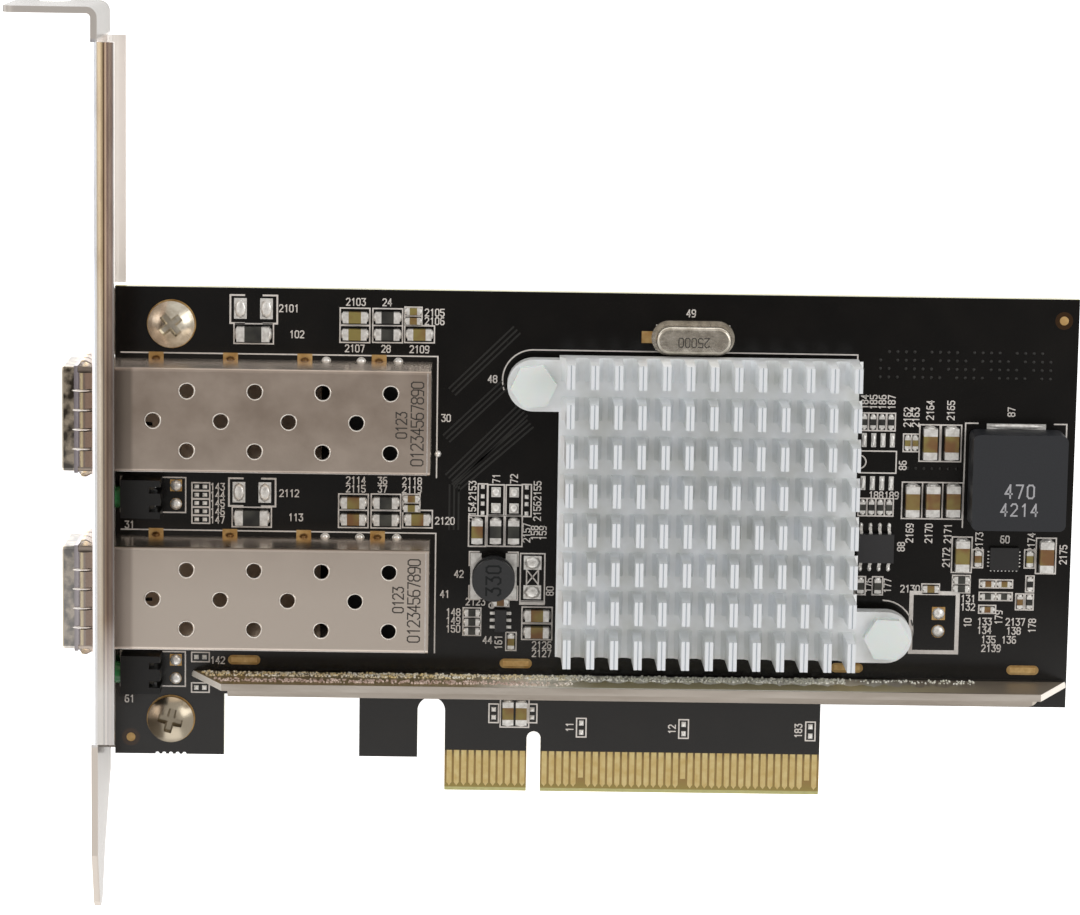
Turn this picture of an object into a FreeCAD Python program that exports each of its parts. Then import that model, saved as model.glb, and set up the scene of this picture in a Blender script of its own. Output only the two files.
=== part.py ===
import FreeCAD, Part
import math
import os
import re
import Sketcher
from FreeCAD import Placement, Rotation, Vector

# Two-port network interface card: a half-height edge-connector board held by a
# full-height folded bracket, with two pluggable-module cages, a pin-fin heat
# sink and a stiffener rail.
#
# Frame: +X runs along the board away from the bracket, +Y from the gold edge
# contacts up to the bracket's screw tab, +Z out of the component side. The
# origin is the middle of the connector's key notch, on the contact edge, in
# the plane of the component side. Millimetres throughout.

doc = FreeCAD.newDocument("network_card")

# ---------------------------------------------------------------- dimensions
DIMENSIONS = {
    "board": dict(
        board_thick=1.57,         # laminate, between its two faces
        board_gap=0.99,           # bracket's inner face to the left edge
        board_right=72.65,        # right edge to the key notch
        board_top=68.9,           # top edge above the contact edge
        skirt_edge=12.75,         # lower edge right of the connector
        block_bottom=4.65,        # lower edge of the bracket-end block
        block_reach=7.25,         # its right side, past the bracket screws
        gap_edge=13.15,           # lower edge between block and hook
        hook_left=23.85,          # hook tab, left side
        hook_right=15.9,          # hook tab, right side
        slot_right=12.15,         # slot between hook and connector
        slot_top=13.05,           # its rounded head
        blade_right=39.15,        # right end of the connector blade
        key_width=1.9,            # key notch
        key_top=8.45,             # its rounded head
        bevel_depth=0.4,          # bevel on both faces of the contact edge
        bevel_run=0.6,
        bite_diameter=0.55, bite_pitch=0.92, bite_count=5),  # torn-off web
    "edge contacts": dict(
        contact_pitch=1.0, contact_width=0.7, contact_skin=0.05,
        contact_top=5.7,          # solder-mask line
        contact_shoulder=1.2,     # where the pointed end starts
        contact_tip=0.75,
        contact_short=2.05,       # blunt end of the presence-detect contacts
        first_offset=1.5,         # first contact each side of the key notch
        left_contacts=11, right_contacts=38),
    "bracket": dict(
        sheet=0.86,               # nickel-plated steel
        bracket_outer=59.0,       # outer face to the key notch
        bracket_width=18.42,
        bracket_above=14.3,       # component-side edge above the board face
        bracket_top=106.85,       # top of the screw tab
        bracket_span=120.88,      # tab to tongue tip
        tab_reach=11.43, tab_corner=1.6,
        notch_radius=2.21,        # screw notch in the tab
        notch_setback=5.08,       # its centre to the tab's end
        notch_inset=3.2,          # its centre to the open edge
        lip_reach=3.05,           # folded edge, over the sheet
        lip_top=102.3, lip_bottom=9.1,
        bend_inner=0.55,          # inside radius of every fold
        shoulder_y=1.5,           # tongue starts narrowing below this
        neck_y=7.6,               # and has its own width this far below the edge
        tongue_width=10.19, tongue_tip=4.0,
        ear_reach=13.0, ear_width=9.0,
        screw_back=9.45,          # screws behind the bracket's outer face
        screw_high=63.9, screw_low=9.6,
        window_clear=0.45,        # port window round its cage
        led_clear=0.2),
    "screws": dict(
        head_diameter=6.3, head_tall=1.8, head_rim=0.75, shank_diameter=2.9,
        shank_long=3.6, hole_clear=0.15, drive_width=1.2, drive_length=3.5,
        drive_depth=1.15, drive_taper=14),
    "ports": dict(
        port_high=52.2,           # centre line of the upper cage
        port_pitch=24.1,
        cage_proud=4.25,          # cages stand out of the bracket
        cage_rear=14.45,          # their rear walls, left of the key notch
        cage_width=14.0, cage_tall=9.8, cage_sheet=0.25, cage_bend=0.5,
        vent_diameter=2.0, vent_row=4.0, vent_count=4,
        vent_first=12.0,          # first vent behind the front edge
        vent_last=5.3,            # last vent before the rear wall
        tail_width=0.8, tail_count=4, tail_first=11.65, tail_last=7.15,
        tail_drop=1.0, tail_clear=0.12,
        tail_pad=2.0,             # square land round each tail
        ground_pad=1.3,           # soldered points by the host connector
        floor_lift=0.35,
        floor_gap=2.4,            # module floor to the host connector
        latch_width=3.2, latch_long=9.0, latch_first=2.2,
        kick_tall=0.8, kick_place=12.6,
        collar_start=1.6, collar_run=2.5, collar_rise=0.8,
        collar_sheet=0.18, collar_fingers=5, collar_slot=0.45),
    "host connectors": dict(
        host_width=11.4, host_depth=9.0, host_tall=6.2, host_back=3.4,
        mouth_width=9.4, mouth_tall=1.3, mouth_deep=5.0, mouth_lift=2.9,
        host_pitch=0.8, host_ways=10, host_lead=0.3, host_foot=1.3,
        host_lead_thick=0.2, host_riser=1.4),
    "cooling": dict(
        chip_x=23.25, chip_y=40.05,   # controller, and the push-pin pattern
        sink_long=40.1, sink_deep=40.8, sink_shift_x=-0.55, sink_shift_y=0.3,
        sink_seat=2.65,           # underside of the base over the board
        sink_base=2.4, sink_top=13.0,
        fin_pitch=3.162, fin_first=1.42, fin_count=13,
        fin_tip=1.05, fin_root=1.3, fin_flare=0.55, fin_groove=0.16,
        cross_pitch=5.27, cross_slot=2.07, cross_first=3.2, cross_count=7,
        ear_round=3.5, pin_dx=24.05, pin_dy=16.85,
        pin_hole=3.2, pin_shank=3.0, pin_flats=5.42, pin_head=1.7,
        barb_drop=2.2, barb_spread=0.5,
        chip_side=25.0, chip_substrate=1.5, lid_side=20.0, lid_tall=0.9,
        pad_side=22.0),
    "rail": dict(
        rail_face=16.5,           # face towards the heat sink
        rail_sheet=0.95, rail_tall=9.2, rail_foot=3.5,
        rail_start=2.2,           # wall's end, past the second lamp lands
        rail_right=72.6, rail_slope=4.6, foot_setback=0.5,
        rail_foot_right=68.9, rail_corner=1.6, rail_bend=0.9),
    "crystal": dict(
        crystal_x=20.6, crystal_y=63.0, crystal_long=11.2, crystal_wide=4.7,
        crystal_base=0.6, can_long=10.1, can_wide=3.7, can_tall=3.2,
        can_round=0.45),
    "power inductor": dict(
        choke_x=64.6, choke_y=44.7, choke_side=13.0, choke_width=12.7,
        choke_tall=6.0, choke_round=0.9, choke_lift=0.3,
        choke_lug=8.0, choke_lug_low=3.4, choke_lug_out=0.7,
        choke_lug_thick=0.3),
    "drum inductor": dict(
        drum_x=-5.8, drum_y=30.0, drum_diameter=5.8, drum_tall=3.6,
        drum_waist=4.6, drum_rim=0.8, drum_plate=6.3, drum_foot=1.5,
        drum_foot_thick=0.35),
    "indicators": dict(
        led_high=40.6, led_low=16.5,
        led_setback=2.09,         # housings behind the bracket's inner face
        led_deep=5.35, led_wide=5.2, led_tall=4.4, led_axis=2.5,
        lens_diameter=2.9, lens_recess=0.25,
        led_slot=1.5,             # open slot in the rear for each pin
        led_slot_wide=0.9,
        led_pin_pitch=2.54, led_pin=0.5, led_pin_drop=1.1,
        led_pad=1.6,
        led_pad_back=1.8,         # second pair of lands, behind the housing
        strip_back=3.35),         # column of small lands behind those
    "chip parts": dict(
        surge_long=4.4, surge_wide=2.0, surge_tall=1.1,
        cap_long=4.2, cap_wide=1.85, cap_tall=1.4,
        mid_long=3.2, mid_wide=1.5, mid_tall=0.95,
        small_long=1.9, small_wide=0.9, small_tall=0.5,
        tiny_long=1.6, tiny_wide=0.75, tiny_tall=0.4,
        end_share=0.24,           # metal end as a share of the chip's length
        pad_skin=0.05),
    "small packages": dict(
        soic_x=45.9, soic_y=34.7, soic_long=5.0, soic_wide=3.9, soic_tall=1.5,
        soic_lift=0.15, soic_pitch=1.27, soic_span=6.0, soic_lead=0.42,
        lead_thick=0.2,
        sot_x=-4.75, sot_y=23.95, sot_wide=1.6, sot_long=3.0, sot_tall=1.1,
        sot_pitch=0.95, sot_span=2.9, sot_lead=0.4,
        qfn_x=63.55, qfn_y=33.4, qfn_long=3.9, qfn_wide=3.1, qfn_tall=0.8),
    "gold features": dict(
        slot_long=4.4, slot_wide=1.3, slot_y=17.9, slot_cut=0.35,
        slot_start=7.1,           # first slot behind the rail's end
        slot_middle=-2.6, slot_third=42.6, slot_fourth=66.6,
        jack_x=54.88, jack_y=24.4, jack_pitch=2.47, jack_pad=1.8,
        jack_hole=1.0, screw_pad=6.6, mark_pad=1.2,
        mark_inset=2.15),         # alignment mark in from the left edge
}

sheet = doc.addObject("Spreadsheet::Sheet", "Dims")
SIZE = {}
row = 1
for group, values in DIMENSIONS.items():
    sheet.set("A%d" % row, group)
    row += 1
    for name, value in values.items():
        sheet.set("A%d" % row, name)
        sheet.set("B%d" % row, str(value))
        sheet.setAlias("B%d" % row, name)
        SIZE[name] = value
        row += 1
doc.recompute()


def size(name):
    """A driving dimension, read back from the sheet."""
    return float(sheet.get(name))


# Positions that follow from the dimensions. The left end of the board and all
# that stands at the bracket are placed from the bracket's outer face.
DERIVED = dict(
    board_left="bracket_outer-sheet-board_gap",
    screw_x="bracket_outer-screw_back",
    block_right="screw_x-block_reach",
    bend_radius="bend_inner+sheet",
    cage_front="bracket_outer+cage_proud",
    cage_length="cage_front-cage_rear",
    vent_pitch="(cage_length-vent_first-vent_last)/(vent_count-0.5)",
    tail_pitch="(cage_length-tail_first-tail_last)/(tail_count-1)",
    floor_length="cage_length-host_back-host_depth-floor_gap",
    led_front="bracket_outer-sheet-led_setback",
    led_pin_x="led_front-led_deep+led_slot-led_pin/2",
    led_pad_x="led_front-led_deep-led_pad_back",
    led_hole="led_pin*sqrt(2)+2*tail_clear",
    strip_x="strip_back-led_pad_x",
    rail_left="led_pad_x-rail_start",
    rail_foot_left="block_right-foot_setback",
    slot_first="slot_start-rail_left")


# ------------------------------------------------------------------- helpers
def linked(text):
    """An expression in the sheet's names, with each name tied to the sheet."""
    def swap(match):
        name = match.group(0)
        if name in DERIVED:
            return "(" + linked(DERIVED[name]) + ")"
        return "Dims." + name if name in SIZE else name
    return re.sub(r"[a-z][a-z_]*", swap, str(text))


def bind(obj, prop, text):
    obj.setExpression(prop, linked(text))


def value_of(text):
    """The number that an expression stands for now."""
    return float(sheet.evalExpression(linked(text)))


def place(obj, x=0, y=0, z=0):
    for axis, text in zip("xyz", (x, y, z)):
        bind(obj, "Placement.Base." + axis, text)


def box(x, y, z, length, width, tall):
    """A block from its low corner, every size and place bound to the sheet."""
    obj = doc.addObject("Part::Box", "Block")
    for prop, text in (("Length", length), ("Width", width), ("Height", tall)):
        bind(obj, prop, text)
    place(obj, x, y, z)
    return obj


def centred_box(x, y, z, length, width, tall):
    """A block standing on z, centred on x and y."""
    return box("(%s) - (%s)/2" % (x, length), "(%s) - (%s)/2" % (y, width), z,
               length, width, tall)


def rod(x, y, z, diameter, tall, along=None):
    obj = doc.addObject("Part::Cylinder", "Rod")
    bind(obj, "Radius", "(%s)/2" % diameter)
    bind(obj, "Height", tall)
    if along == "x":
        obj.Placement = Placement(Vector(), Rotation(Vector(0, 1, 0), 90))
    place(obj, x, y, z)
    return obj


def fuse(parts):
    obj = doc.addObject("Part::MultiFuse", "Joined")
    obj.Shapes = parts
    return obj


def cut(base, tool):
    obj = doc.addObject("Part::Cut", "Trimmed")
    obj.Base, obj.Tool = base, tool
    return obj


def group(label, parts):
    """Separate solids of one kind that share a node."""
    obj = doc.addObject("Part::Compound", label)
    obj.Links = parts
    return node(obj, label)


NODES = []


def node(obj, label):
    obj.Label = label
    NODES.append(obj)
    return obj


def body(name):
    return doc.addObject("PartDesign::Body", name)


def origin_part(owner, role):
    return [f for f in owner.Origin.OriginFeatures if f.Role == role][0]


def sketch(owner, plane, offset="0"):
    """A sketch on one of the body's origin planes, shifted along its normal."""
    made = owner.newObject("Sketcher::SketchObject", "Profile")
    made.AttachmentSupport = (origin_part(owner, plane), "")
    made.MapMode = "FlatFace"
    bind(made, "AttachmentOffset.Base.z", offset)
    return made


def pin_point(made, geometry, end, x, y):
    """Fix one point of a sketch at two bound distances from its origin."""
    for kind, text in (("DistanceX", x), ("DistanceY", y)):
        index = made.addConstraint(Sketcher.Constraint(
            kind, -1, 1, geometry, end, value_of(text)))
        bind(made, "Constraints[%d]" % index, text)


def outline(made, corners):
    """A closed outline through (x, y) corners. A third item makes the side
    that starts there an arc to the next corner, bulging left of the way
    travelled: a radius (bulging right if negative), or "left" or "right" for
    half a circle."""
    count = len(corners)
    first = made.GeometryCount
    spots = [(value_of(c[0]), value_of(c[1])) for c in corners]
    for i, corner in enumerate(corners):
        a, b = spots[i], spots[(i + 1) % count]
        start, end = Vector(a[0], a[1], 0), Vector(b[0], b[1], 0)
        if len(corner) == 3:
            chord = end - start
            half = chord.Length / 2
            if corner[2] in ("left", "right"):
                bulge = half if corner[2] == "left" else -half
            else:
                radius = value_of(corner[2])
                bulge = math.copysign(abs(radius) - math.sqrt(
                    max(radius * radius - half * half, 0)), radius)
            left = Vector(-chord.y, chord.x, 0).normalize()
            middle = (start + end) * 0.5 + left * bulge
            if bulge > 0:       # a sketch keeps its arcs anticlockwise
                start, end = end, start
            made.addGeometry(Part.Arc(start, middle, end), False)
        else:
            made.addGeometry(Part.LineSegment(start, end), False)
    for i, corner in enumerate(corners):
        joint = spots[(i + 1) % count]
        here, after = first + i, first + (i + 1) % count
        made.addConstraint(Sketcher.Constraint(
            "Coincident", here, end_number(made, here, joint),
            after, end_number(made, after, joint)))
    for i, corner in enumerate(corners):
        pin_point(made, first + i, end_number(made, first + i, spots[i]),
                  corner[0], corner[1])
        if len(corner) < 3:
            continue
        if corner[2] in ("left", "right"):
            upright = abs(spots[i][0] - spots[(i + 1) % count][0]) < 1e-6
            kind, text = (("DistanceX", corner[0]) if upright
                          else ("DistanceY", corner[1]))
            index = made.addConstraint(Sketcher.Constraint(
                kind, -1, 1, first + i, 3, value_of(text)))
            bind(made, "Constraints[%d]" % index, text)
        else:
            index = made.addConstraint(Sketcher.Constraint(
                "Radius", first + i, abs(value_of(corner[2]))))
            bind(made, "Constraints[%d]" % index, "abs(%s)" % corner[2])
    return made


def end_number(made, index, spot):
    """1 for the end of a side that lies at the spot when it is its start."""
    side = made.Geometry[index]
    near = side.StartPoint.distanceToPoint(Vector(spot[0], spot[1], 0))
    far = side.EndPoint.distanceToPoint(Vector(spot[0], spot[1], 0))
    return 1 if near < far else 2


def rectangle(made, x, y, length, width):
    return outline(made, [
        (x, y), ("(%s)+(%s)" % (x, length), y),
        ("(%s)+(%s)" % (x, length), "(%s)+(%s)" % (y, width)),
        (x, "(%s)+(%s)" % (y, width))])


def circles(made, spots, diameter):
    for x, y in spots:
        index = made.addGeometry(Part.Circle(
            Vector(value_of(x), value_of(y), 0), Vector(0, 0, 1),
            value_of(diameter) / 2), False)
        pin_point(made, index, 3, x, y)
        mark = made.addConstraint(Sketcher.Constraint(
            "Diameter", index, value_of(diameter)))
        bind(made, "Constraints[%d]" % mark, diameter)
    return made


def pad(owner, made, length, back=False):
    step = owner.newObject("PartDesign::Pad", "Pad")
    step.Profile = made
    step.Reversed = back
    bind(step, "Length", length)
    return step


def pocket(owner, made, length=None, back=False):
    """Cut along the sketch's normal, reversed from the usual side when back is
    set; with no length it goes right through both ways."""
    step = owner.newObject("PartDesign::Pocket", "Pocket")
    step.Profile = made
    step.Reversed = back
    if length is None:
        step.Type = 1
        step.Midplane = True
    else:
        bind(step, "Length", length)
    return step


def repeat(owner, steps, axis, pitch, count):
    """Repeat features along a body axis, a fixed pitch apart."""
    pattern = owner.newObject("PartDesign::LinearPattern", "Row")
    pattern.Originals = steps
    pattern.Direction = (origin_part(owner, axis), [""])
    bind(pattern, "Occurrences", count)
    bind(pattern, "Length", "(%s)*((%s)-1)" % (pitch, count))
    owner.Tip = pattern
    return pattern


def round_edges(owner, step, radius, chosen):
    """Fillet the edges of a feature for which chosen(edge) is true."""
    doc.recompute()
    names = ["Edge%d" % (i + 1) for i, edge in enumerate(step.Shape.Edges)
             if chosen(edge)]
    fillet = owner.newObject("PartDesign::Fillet", "Fillet")
    fillet.Base = (step, names)
    bind(fillet, "Radius", radius)
    owner.Tip = fillet
    return fillet


def runs(edge, axis):
    """True for a straight edge along one axis."""
    if not isinstance(edge.Curve, Part.Line):
        return False
    way = edge.Vertexes[-1].Point - edge.Vertexes[0].Point
    return abs(abs(getattr(way, axis)) - way.Length) < 1e-6 * max(way.Length, 1)


def near(value, target):
    return abs(value - target) < 1e-4


# ------------------------------------------------------------- printed board
# Laminate blank with the connector blade, the hook tab, the bracket-end block
# and the plated holes.
board = body("BoardBody")
blank = outline(sketch(board, "XY_Plane", "-board_thick"), [
    ("-board_left", "board_top"),
    ("-board_left", "block_bottom"),
    ("-block_right", "block_bottom"),
    ("-block_right", "gap_edge"),
    ("-hook_left", "gap_edge"),
    ("-hook_left", "block_bottom"),
    ("-hook_right", "block_bottom"),
    ("-hook_right", "slot_top-(hook_right-slot_right)/2", "left"),
    ("-slot_right", "slot_top-(hook_right-slot_right)/2"),
    ("-slot_right", "0"),
    ("-key_width/2", "0"),
    ("-key_width/2", "key_top-key_width/2", "left"),
    ("key_width/2", "key_top-key_width/2"),
    ("key_width/2", "0"),
    ("blade_right", "0"),
    ("blade_right", "skirt_edge"),
    ("board_right", "skirt_edge"),
    ("board_right", "board_top")])
pad(board, blank, "board_thick")
# bevels on both faces of the contact edge
for face, sign in (("0", "-1"), ("-board_thick", "1")):
    bevel = outline(sketch(board, "YZ_Plane"), [
        ("-0.01", "%s-(%s)*0.01" % (face, sign)),
        ("bevel_run", "%s-(%s)*0.01" % (face, sign)),
        ("-0.01", "%s+(%s)*bevel_depth" % (face, sign))])
    pocket(board, bevel)
port_lines = ("port_high", "port_high-port_pitch")
screw_spots = [("-screw_x", "screw_high"), ("-screw_x", "screw_low")]
pin_spots = [("chip_x-pin_dx", "chip_y+pin_dy"),
             ("chip_x+pin_dx", "chip_y-pin_dy")]
pocket(board, circles(sketch(board, "XY_Plane"), screw_spots,
                      "shank_diameter+2*hole_clear"))
pocket(board, circles(sketch(board, "XY_Plane"), pin_spots, "pin_hole"))
led_spots = [("-led_pin_x", "%s+(%d)*led_pin_pitch/2" % (line, side))
             for line in ("led_high", "led_low") for side in (1, -1)]
pocket(board, circles(sketch(board, "XY_Plane"), led_spots, "led_hole"))
jack_spots = [("jack_x", "jack_y+(%d)*jack_pitch/2" % side)
              for side in (1, -1)]
pocket(board, circles(sketch(board, "XY_Plane"), jack_spots, "jack_hole"))
# press-fit tails of the cages, one row under each side wall
tail_rows = ["%s+(%d)*(cage_width-cage_sheet)/2" % (line, side)
             for line in port_lines for side in (1, -1)]
first_tails = circles(sketch(board, "XY_Plane"),
                      [("tail_first-cage_front", line) for line in tail_rows],
                      "tail_width+2*tail_clear")
repeat(board, [pocket(board, first_tails)], "X_Axis", "tail_pitch",
       "tail_count")
# half holes where the web to the panel was torn off
first_bite = circles(
    sketch(board, "XY_Plane"),
    [("-screw_x-(bite_count-1)*bite_pitch/2", "block_bottom")],
    "bite_diameter")
repeat(board, [pocket(board, first_bite)], "X_Axis", "bite_pitch",
       "bite_count")
node(board, "circuit_board")

# -------------------------------------------------------------- edge contacts
# Gold fingers at one pitch each side of the key notch, on both faces. The
# presence-detect fingers stop short of the others.
SHORT = (17, 31, 48)


def finger_row(face, side):
    """One body with the full and the short fingers of one board face."""
    rows = []
    numbers = range(1, SIZE["left_contacts"] + SIZE["right_contacts"] + 1)
    short = SHORT if side > 0 else (1,)
    runs_of = []
    for n in numbers:
        kind = n in short
        gap = n == SIZE["left_contacts"] + 1
        if not runs_of or runs_of[-1][0] != kind or gap:
            runs_of.append([kind, n, 0])
        runs_of[-1][2] += 1
    for kind, first, count in runs_of:
        left = first <= SIZE["left_contacts"]
        x = ("-first_offset-(left_contacts-%d)*contact_pitch" % first if left
             else "first_offset+(%d-left_contacts)*contact_pitch" % (first - 1))
        owner = body("Fingers")
        made = sketch(owner, "XY_Plane", face)
        if kind:
            rectangle(made, "%s-contact_width/2" % x, "contact_short",
                      "contact_width", "contact_top-contact_short")
        else:
            outline(made, [
                ("%s-contact_width/2" % x, "contact_top"),
                ("%s-contact_width/2" % x, "contact_shoulder"),
                (x, "contact_tip"),
                ("%s+contact_width/2" % x, "contact_shoulder"),
                ("%s+contact_width/2" % x, "contact_top")])
        step = pad(owner, made, "contact_skin")
        if count > 1:
            repeat(owner, [step], "X_Axis", "contact_pitch", count)
        rows.append(owner)
    return rows


group("edge_contacts", finger_row("0", 1)
      + finger_row("-board_thick-contact_skin", -1))

# -------------------------------------------------------------------- bracket
# One folded sheet: the face plate with its rearward tab and tongue, a lip
# along each long edge, and two ears that the board is screwed to.
near_edge = "bracket_above"
far_edge = "(bracket_above-bracket_width)"
tip_y = "(bracket_top-bracket_span)"
tongue_middle = "(bracket_above-tongue_width/2)"
bracket = body("BracketBody")
plate = outline(sketch(bracket, "YZ_Plane", "-bracket_outer"), [
    ("bracket_top", near_edge),
    ("bracket_top", far_edge),
    ("shoulder_y", far_edge),
    ("-neck_y", "bracket_above-tongue_width"),
    ("%s+0.8" % tip_y, "%s-tongue_tip/2" % tongue_middle),
    (tip_y, "%s-tongue_tip/2+0.8" % tongue_middle),
    (tip_y, "%s+tongue_tip/2-0.8" % tongue_middle),
    ("%s+0.8" % tip_y, "%s+tongue_tip/2" % tongue_middle),
    ("-neck_y+1.5", near_edge)])
pad(bracket, plate, "sheet")
tab = outline(sketch(bracket, "XY_Plane", far_edge), [
    ("-bracket_outer-tab_reach", "bracket_top-sheet"),
    ("-bracket_outer+sheet", "bracket_top-sheet"),
    ("-bracket_outer+sheet", "bracket_top"),
    ("-bracket_outer-tab_reach", "bracket_top")])
pad(bracket, tab, "bracket_width")
# each long edge is folded over: its square corner goes, and a bend comes
for edge, side, low in ((near_edge, 1, "%s-bend_radius" % near_edge),
                        (far_edge, -1, "%s-1" % far_edge)):
    corner = rectangle(sketch(bracket, "XZ_Plane", "-lip_top"),
                       "-bracket_outer-1", low, "sheet+2", "bend_radius+1")
    pocket(bracket, corner, "lip_top-lip_bottom", back=True)
    inside = "%s-(%d)*sheet" % (edge, side)
    flank = "%s-(%d)*bend_radius" % (edge, side)
    lip = outline(sketch(bracket, "XZ_Plane", "-lip_top"), [
        ("-bracket_outer", flank, "(%d)*bend_radius" % side),
        ("bend_radius-bracket_outer", edge),
        ("lip_reach-bracket_outer", edge),
        ("lip_reach-bracket_outer", inside),
        ("bend_radius-bracket_outer", inside, "(%d)*bend_inner" % -side),
        ("sheet-bracket_outer", flank)])
    pad(bracket, lip, "lip_top-lip_bottom")
# the far lip and edge give way to each ear
for spot in ("screw_high", "screw_low"):
    relief = rectangle(sketch(bracket, "YZ_Plane", "-bracket_outer-1"),
                       "%s-ear_width/2-0.6" % spot, "%s-1" % far_edge,
                       "ear_width+1.2",
                       "-board_thick-sheet-%s+1" % far_edge)
    pocket(bracket, relief, "lip_reach+2", back=True)
for spot in ("screw_high", "screw_low"):
    ear = rectangle(sketch(bracket, "XY_Plane", "-board_thick-sheet"),
                    "-bracket_outer", "%s-ear_width/2" % spot,
                    "ear_reach", "ear_width")
    ears = pad(bracket, ear, "sheet")
tab_end = round_edges(
    bracket, ears, "tab_corner", lambda e: runs(e, "y")
    and near(e.Vertexes[0].X, -size("bracket_outer") - size("tab_reach")))
ear_end = round_edges(
    bracket, tab_end, "tab_corner", lambda e: runs(e, "z")
    and near(e.Vertexes[0].X, -size("bracket_outer") + size("ear_reach")))
top_bend = round_edges(
    bracket, ear_end, "bend_radius", lambda e: runs(e, "z")
    and near(e.Vertexes[0].X, -size("bracket_outer") + size("sheet"))
    and near(e.Vertexes[0].Y, size("bracket_top")))
round_edges(
    bracket, top_bend, "bend_inner", lambda e: runs(e, "z")
    and near(e.Vertexes[0].X, -size("bracket_outer"))
    and near(e.Vertexes[0].Y, size("bracket_top") - size("sheet")))
# screw notch, open to the far side of the tab
notch = sketch(bracket, "XZ_Plane", "-bracket_top-1")
notch_x = "(-bracket_outer-tab_reach+notch_setback)"
outline(notch, [
    ("%s-notch_radius" % notch_x, "%s-1" % far_edge),
    ("%s+notch_radius" % notch_x, "%s-1" % far_edge),
    ("%s+notch_radius" % notch_x, "%s+notch_inset" % far_edge, "right"),
    ("%s-notch_radius" % notch_x, "%s+notch_inset" % far_edge)])
pocket(bracket, notch, "sheet+2", back=True)
for line in port_lines:
    window = rectangle(
        sketch(bracket, "YZ_Plane", "-bracket_outer-1"),
        "%s-cage_width/2-window_clear" % line, "-window_clear",
        "cage_width+2*window_clear", "cage_tall+2*window_clear")
    pocket(bracket, window, "sheet+2", back=True)
pocket(bracket, circles(sketch(bracket, "YZ_Plane", "-bracket_outer-1"),
                        [("led_high", "led_axis"), ("led_low", "led_axis")],
                        "lens_diameter+2*led_clear"), "sheet+2", back=True)
pocket(bracket, circles(sketch(bracket, "XY_Plane", "-board_thick-sheet-1"),
                        screw_spots, "shank_diameter"), "sheet+2", back=True)
bracket.Tip = bracket.Group[-1]
node(bracket, "mounting_bracket")

# -------------------------------------------------------------------- screws
# Pan-head machine screws with a cross recess, turned down into the ears.
screws = []
for (x, y), turn in zip(screw_spots, (40, -14)):
    screw = body("Screw")
    turned = outline(sketch(screw, "XZ_Plane"), [
        ("0", "-shank_long"),
        ("shank_diameter/2-0.3", "-shank_long"),
        ("shank_diameter/2", "-shank_long+0.3"),
        ("shank_diameter/2", "0"),
        ("head_diameter/2", "0"),
        ("head_diameter/2", "head_rim", "-head_diameter*0.9"),
        ("0", "head_tall")])
    spun = screw.newObject("PartDesign::Revolution", "Turned")
    spun.Profile = turned
    spun.ReferenceAxis = (turned, ["V_Axis"])
    spun.Angle = 360
    for long, wide in (("drive_length", "drive_width"),
                       ("drive_width", "drive_length")):
        wing = rectangle(sketch(screw, "XY_Plane", "head_tall"),
                         "-(%s)/2" % long, "-(%s)/2" % wide, long, wide)
        recess = pocket(screw, wing, "drive_depth")
        bind(recess, "TaperAngle", "-drive_taper")
    screw.Tip = screw.Group[-1]
    screw.Placement = Placement(Vector(), Rotation(Vector(0, 0, 1), turn))
    place(screw, x, y, "pad_skin")
    screws.append(screw)
group("bracket_screws", screws)

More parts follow.
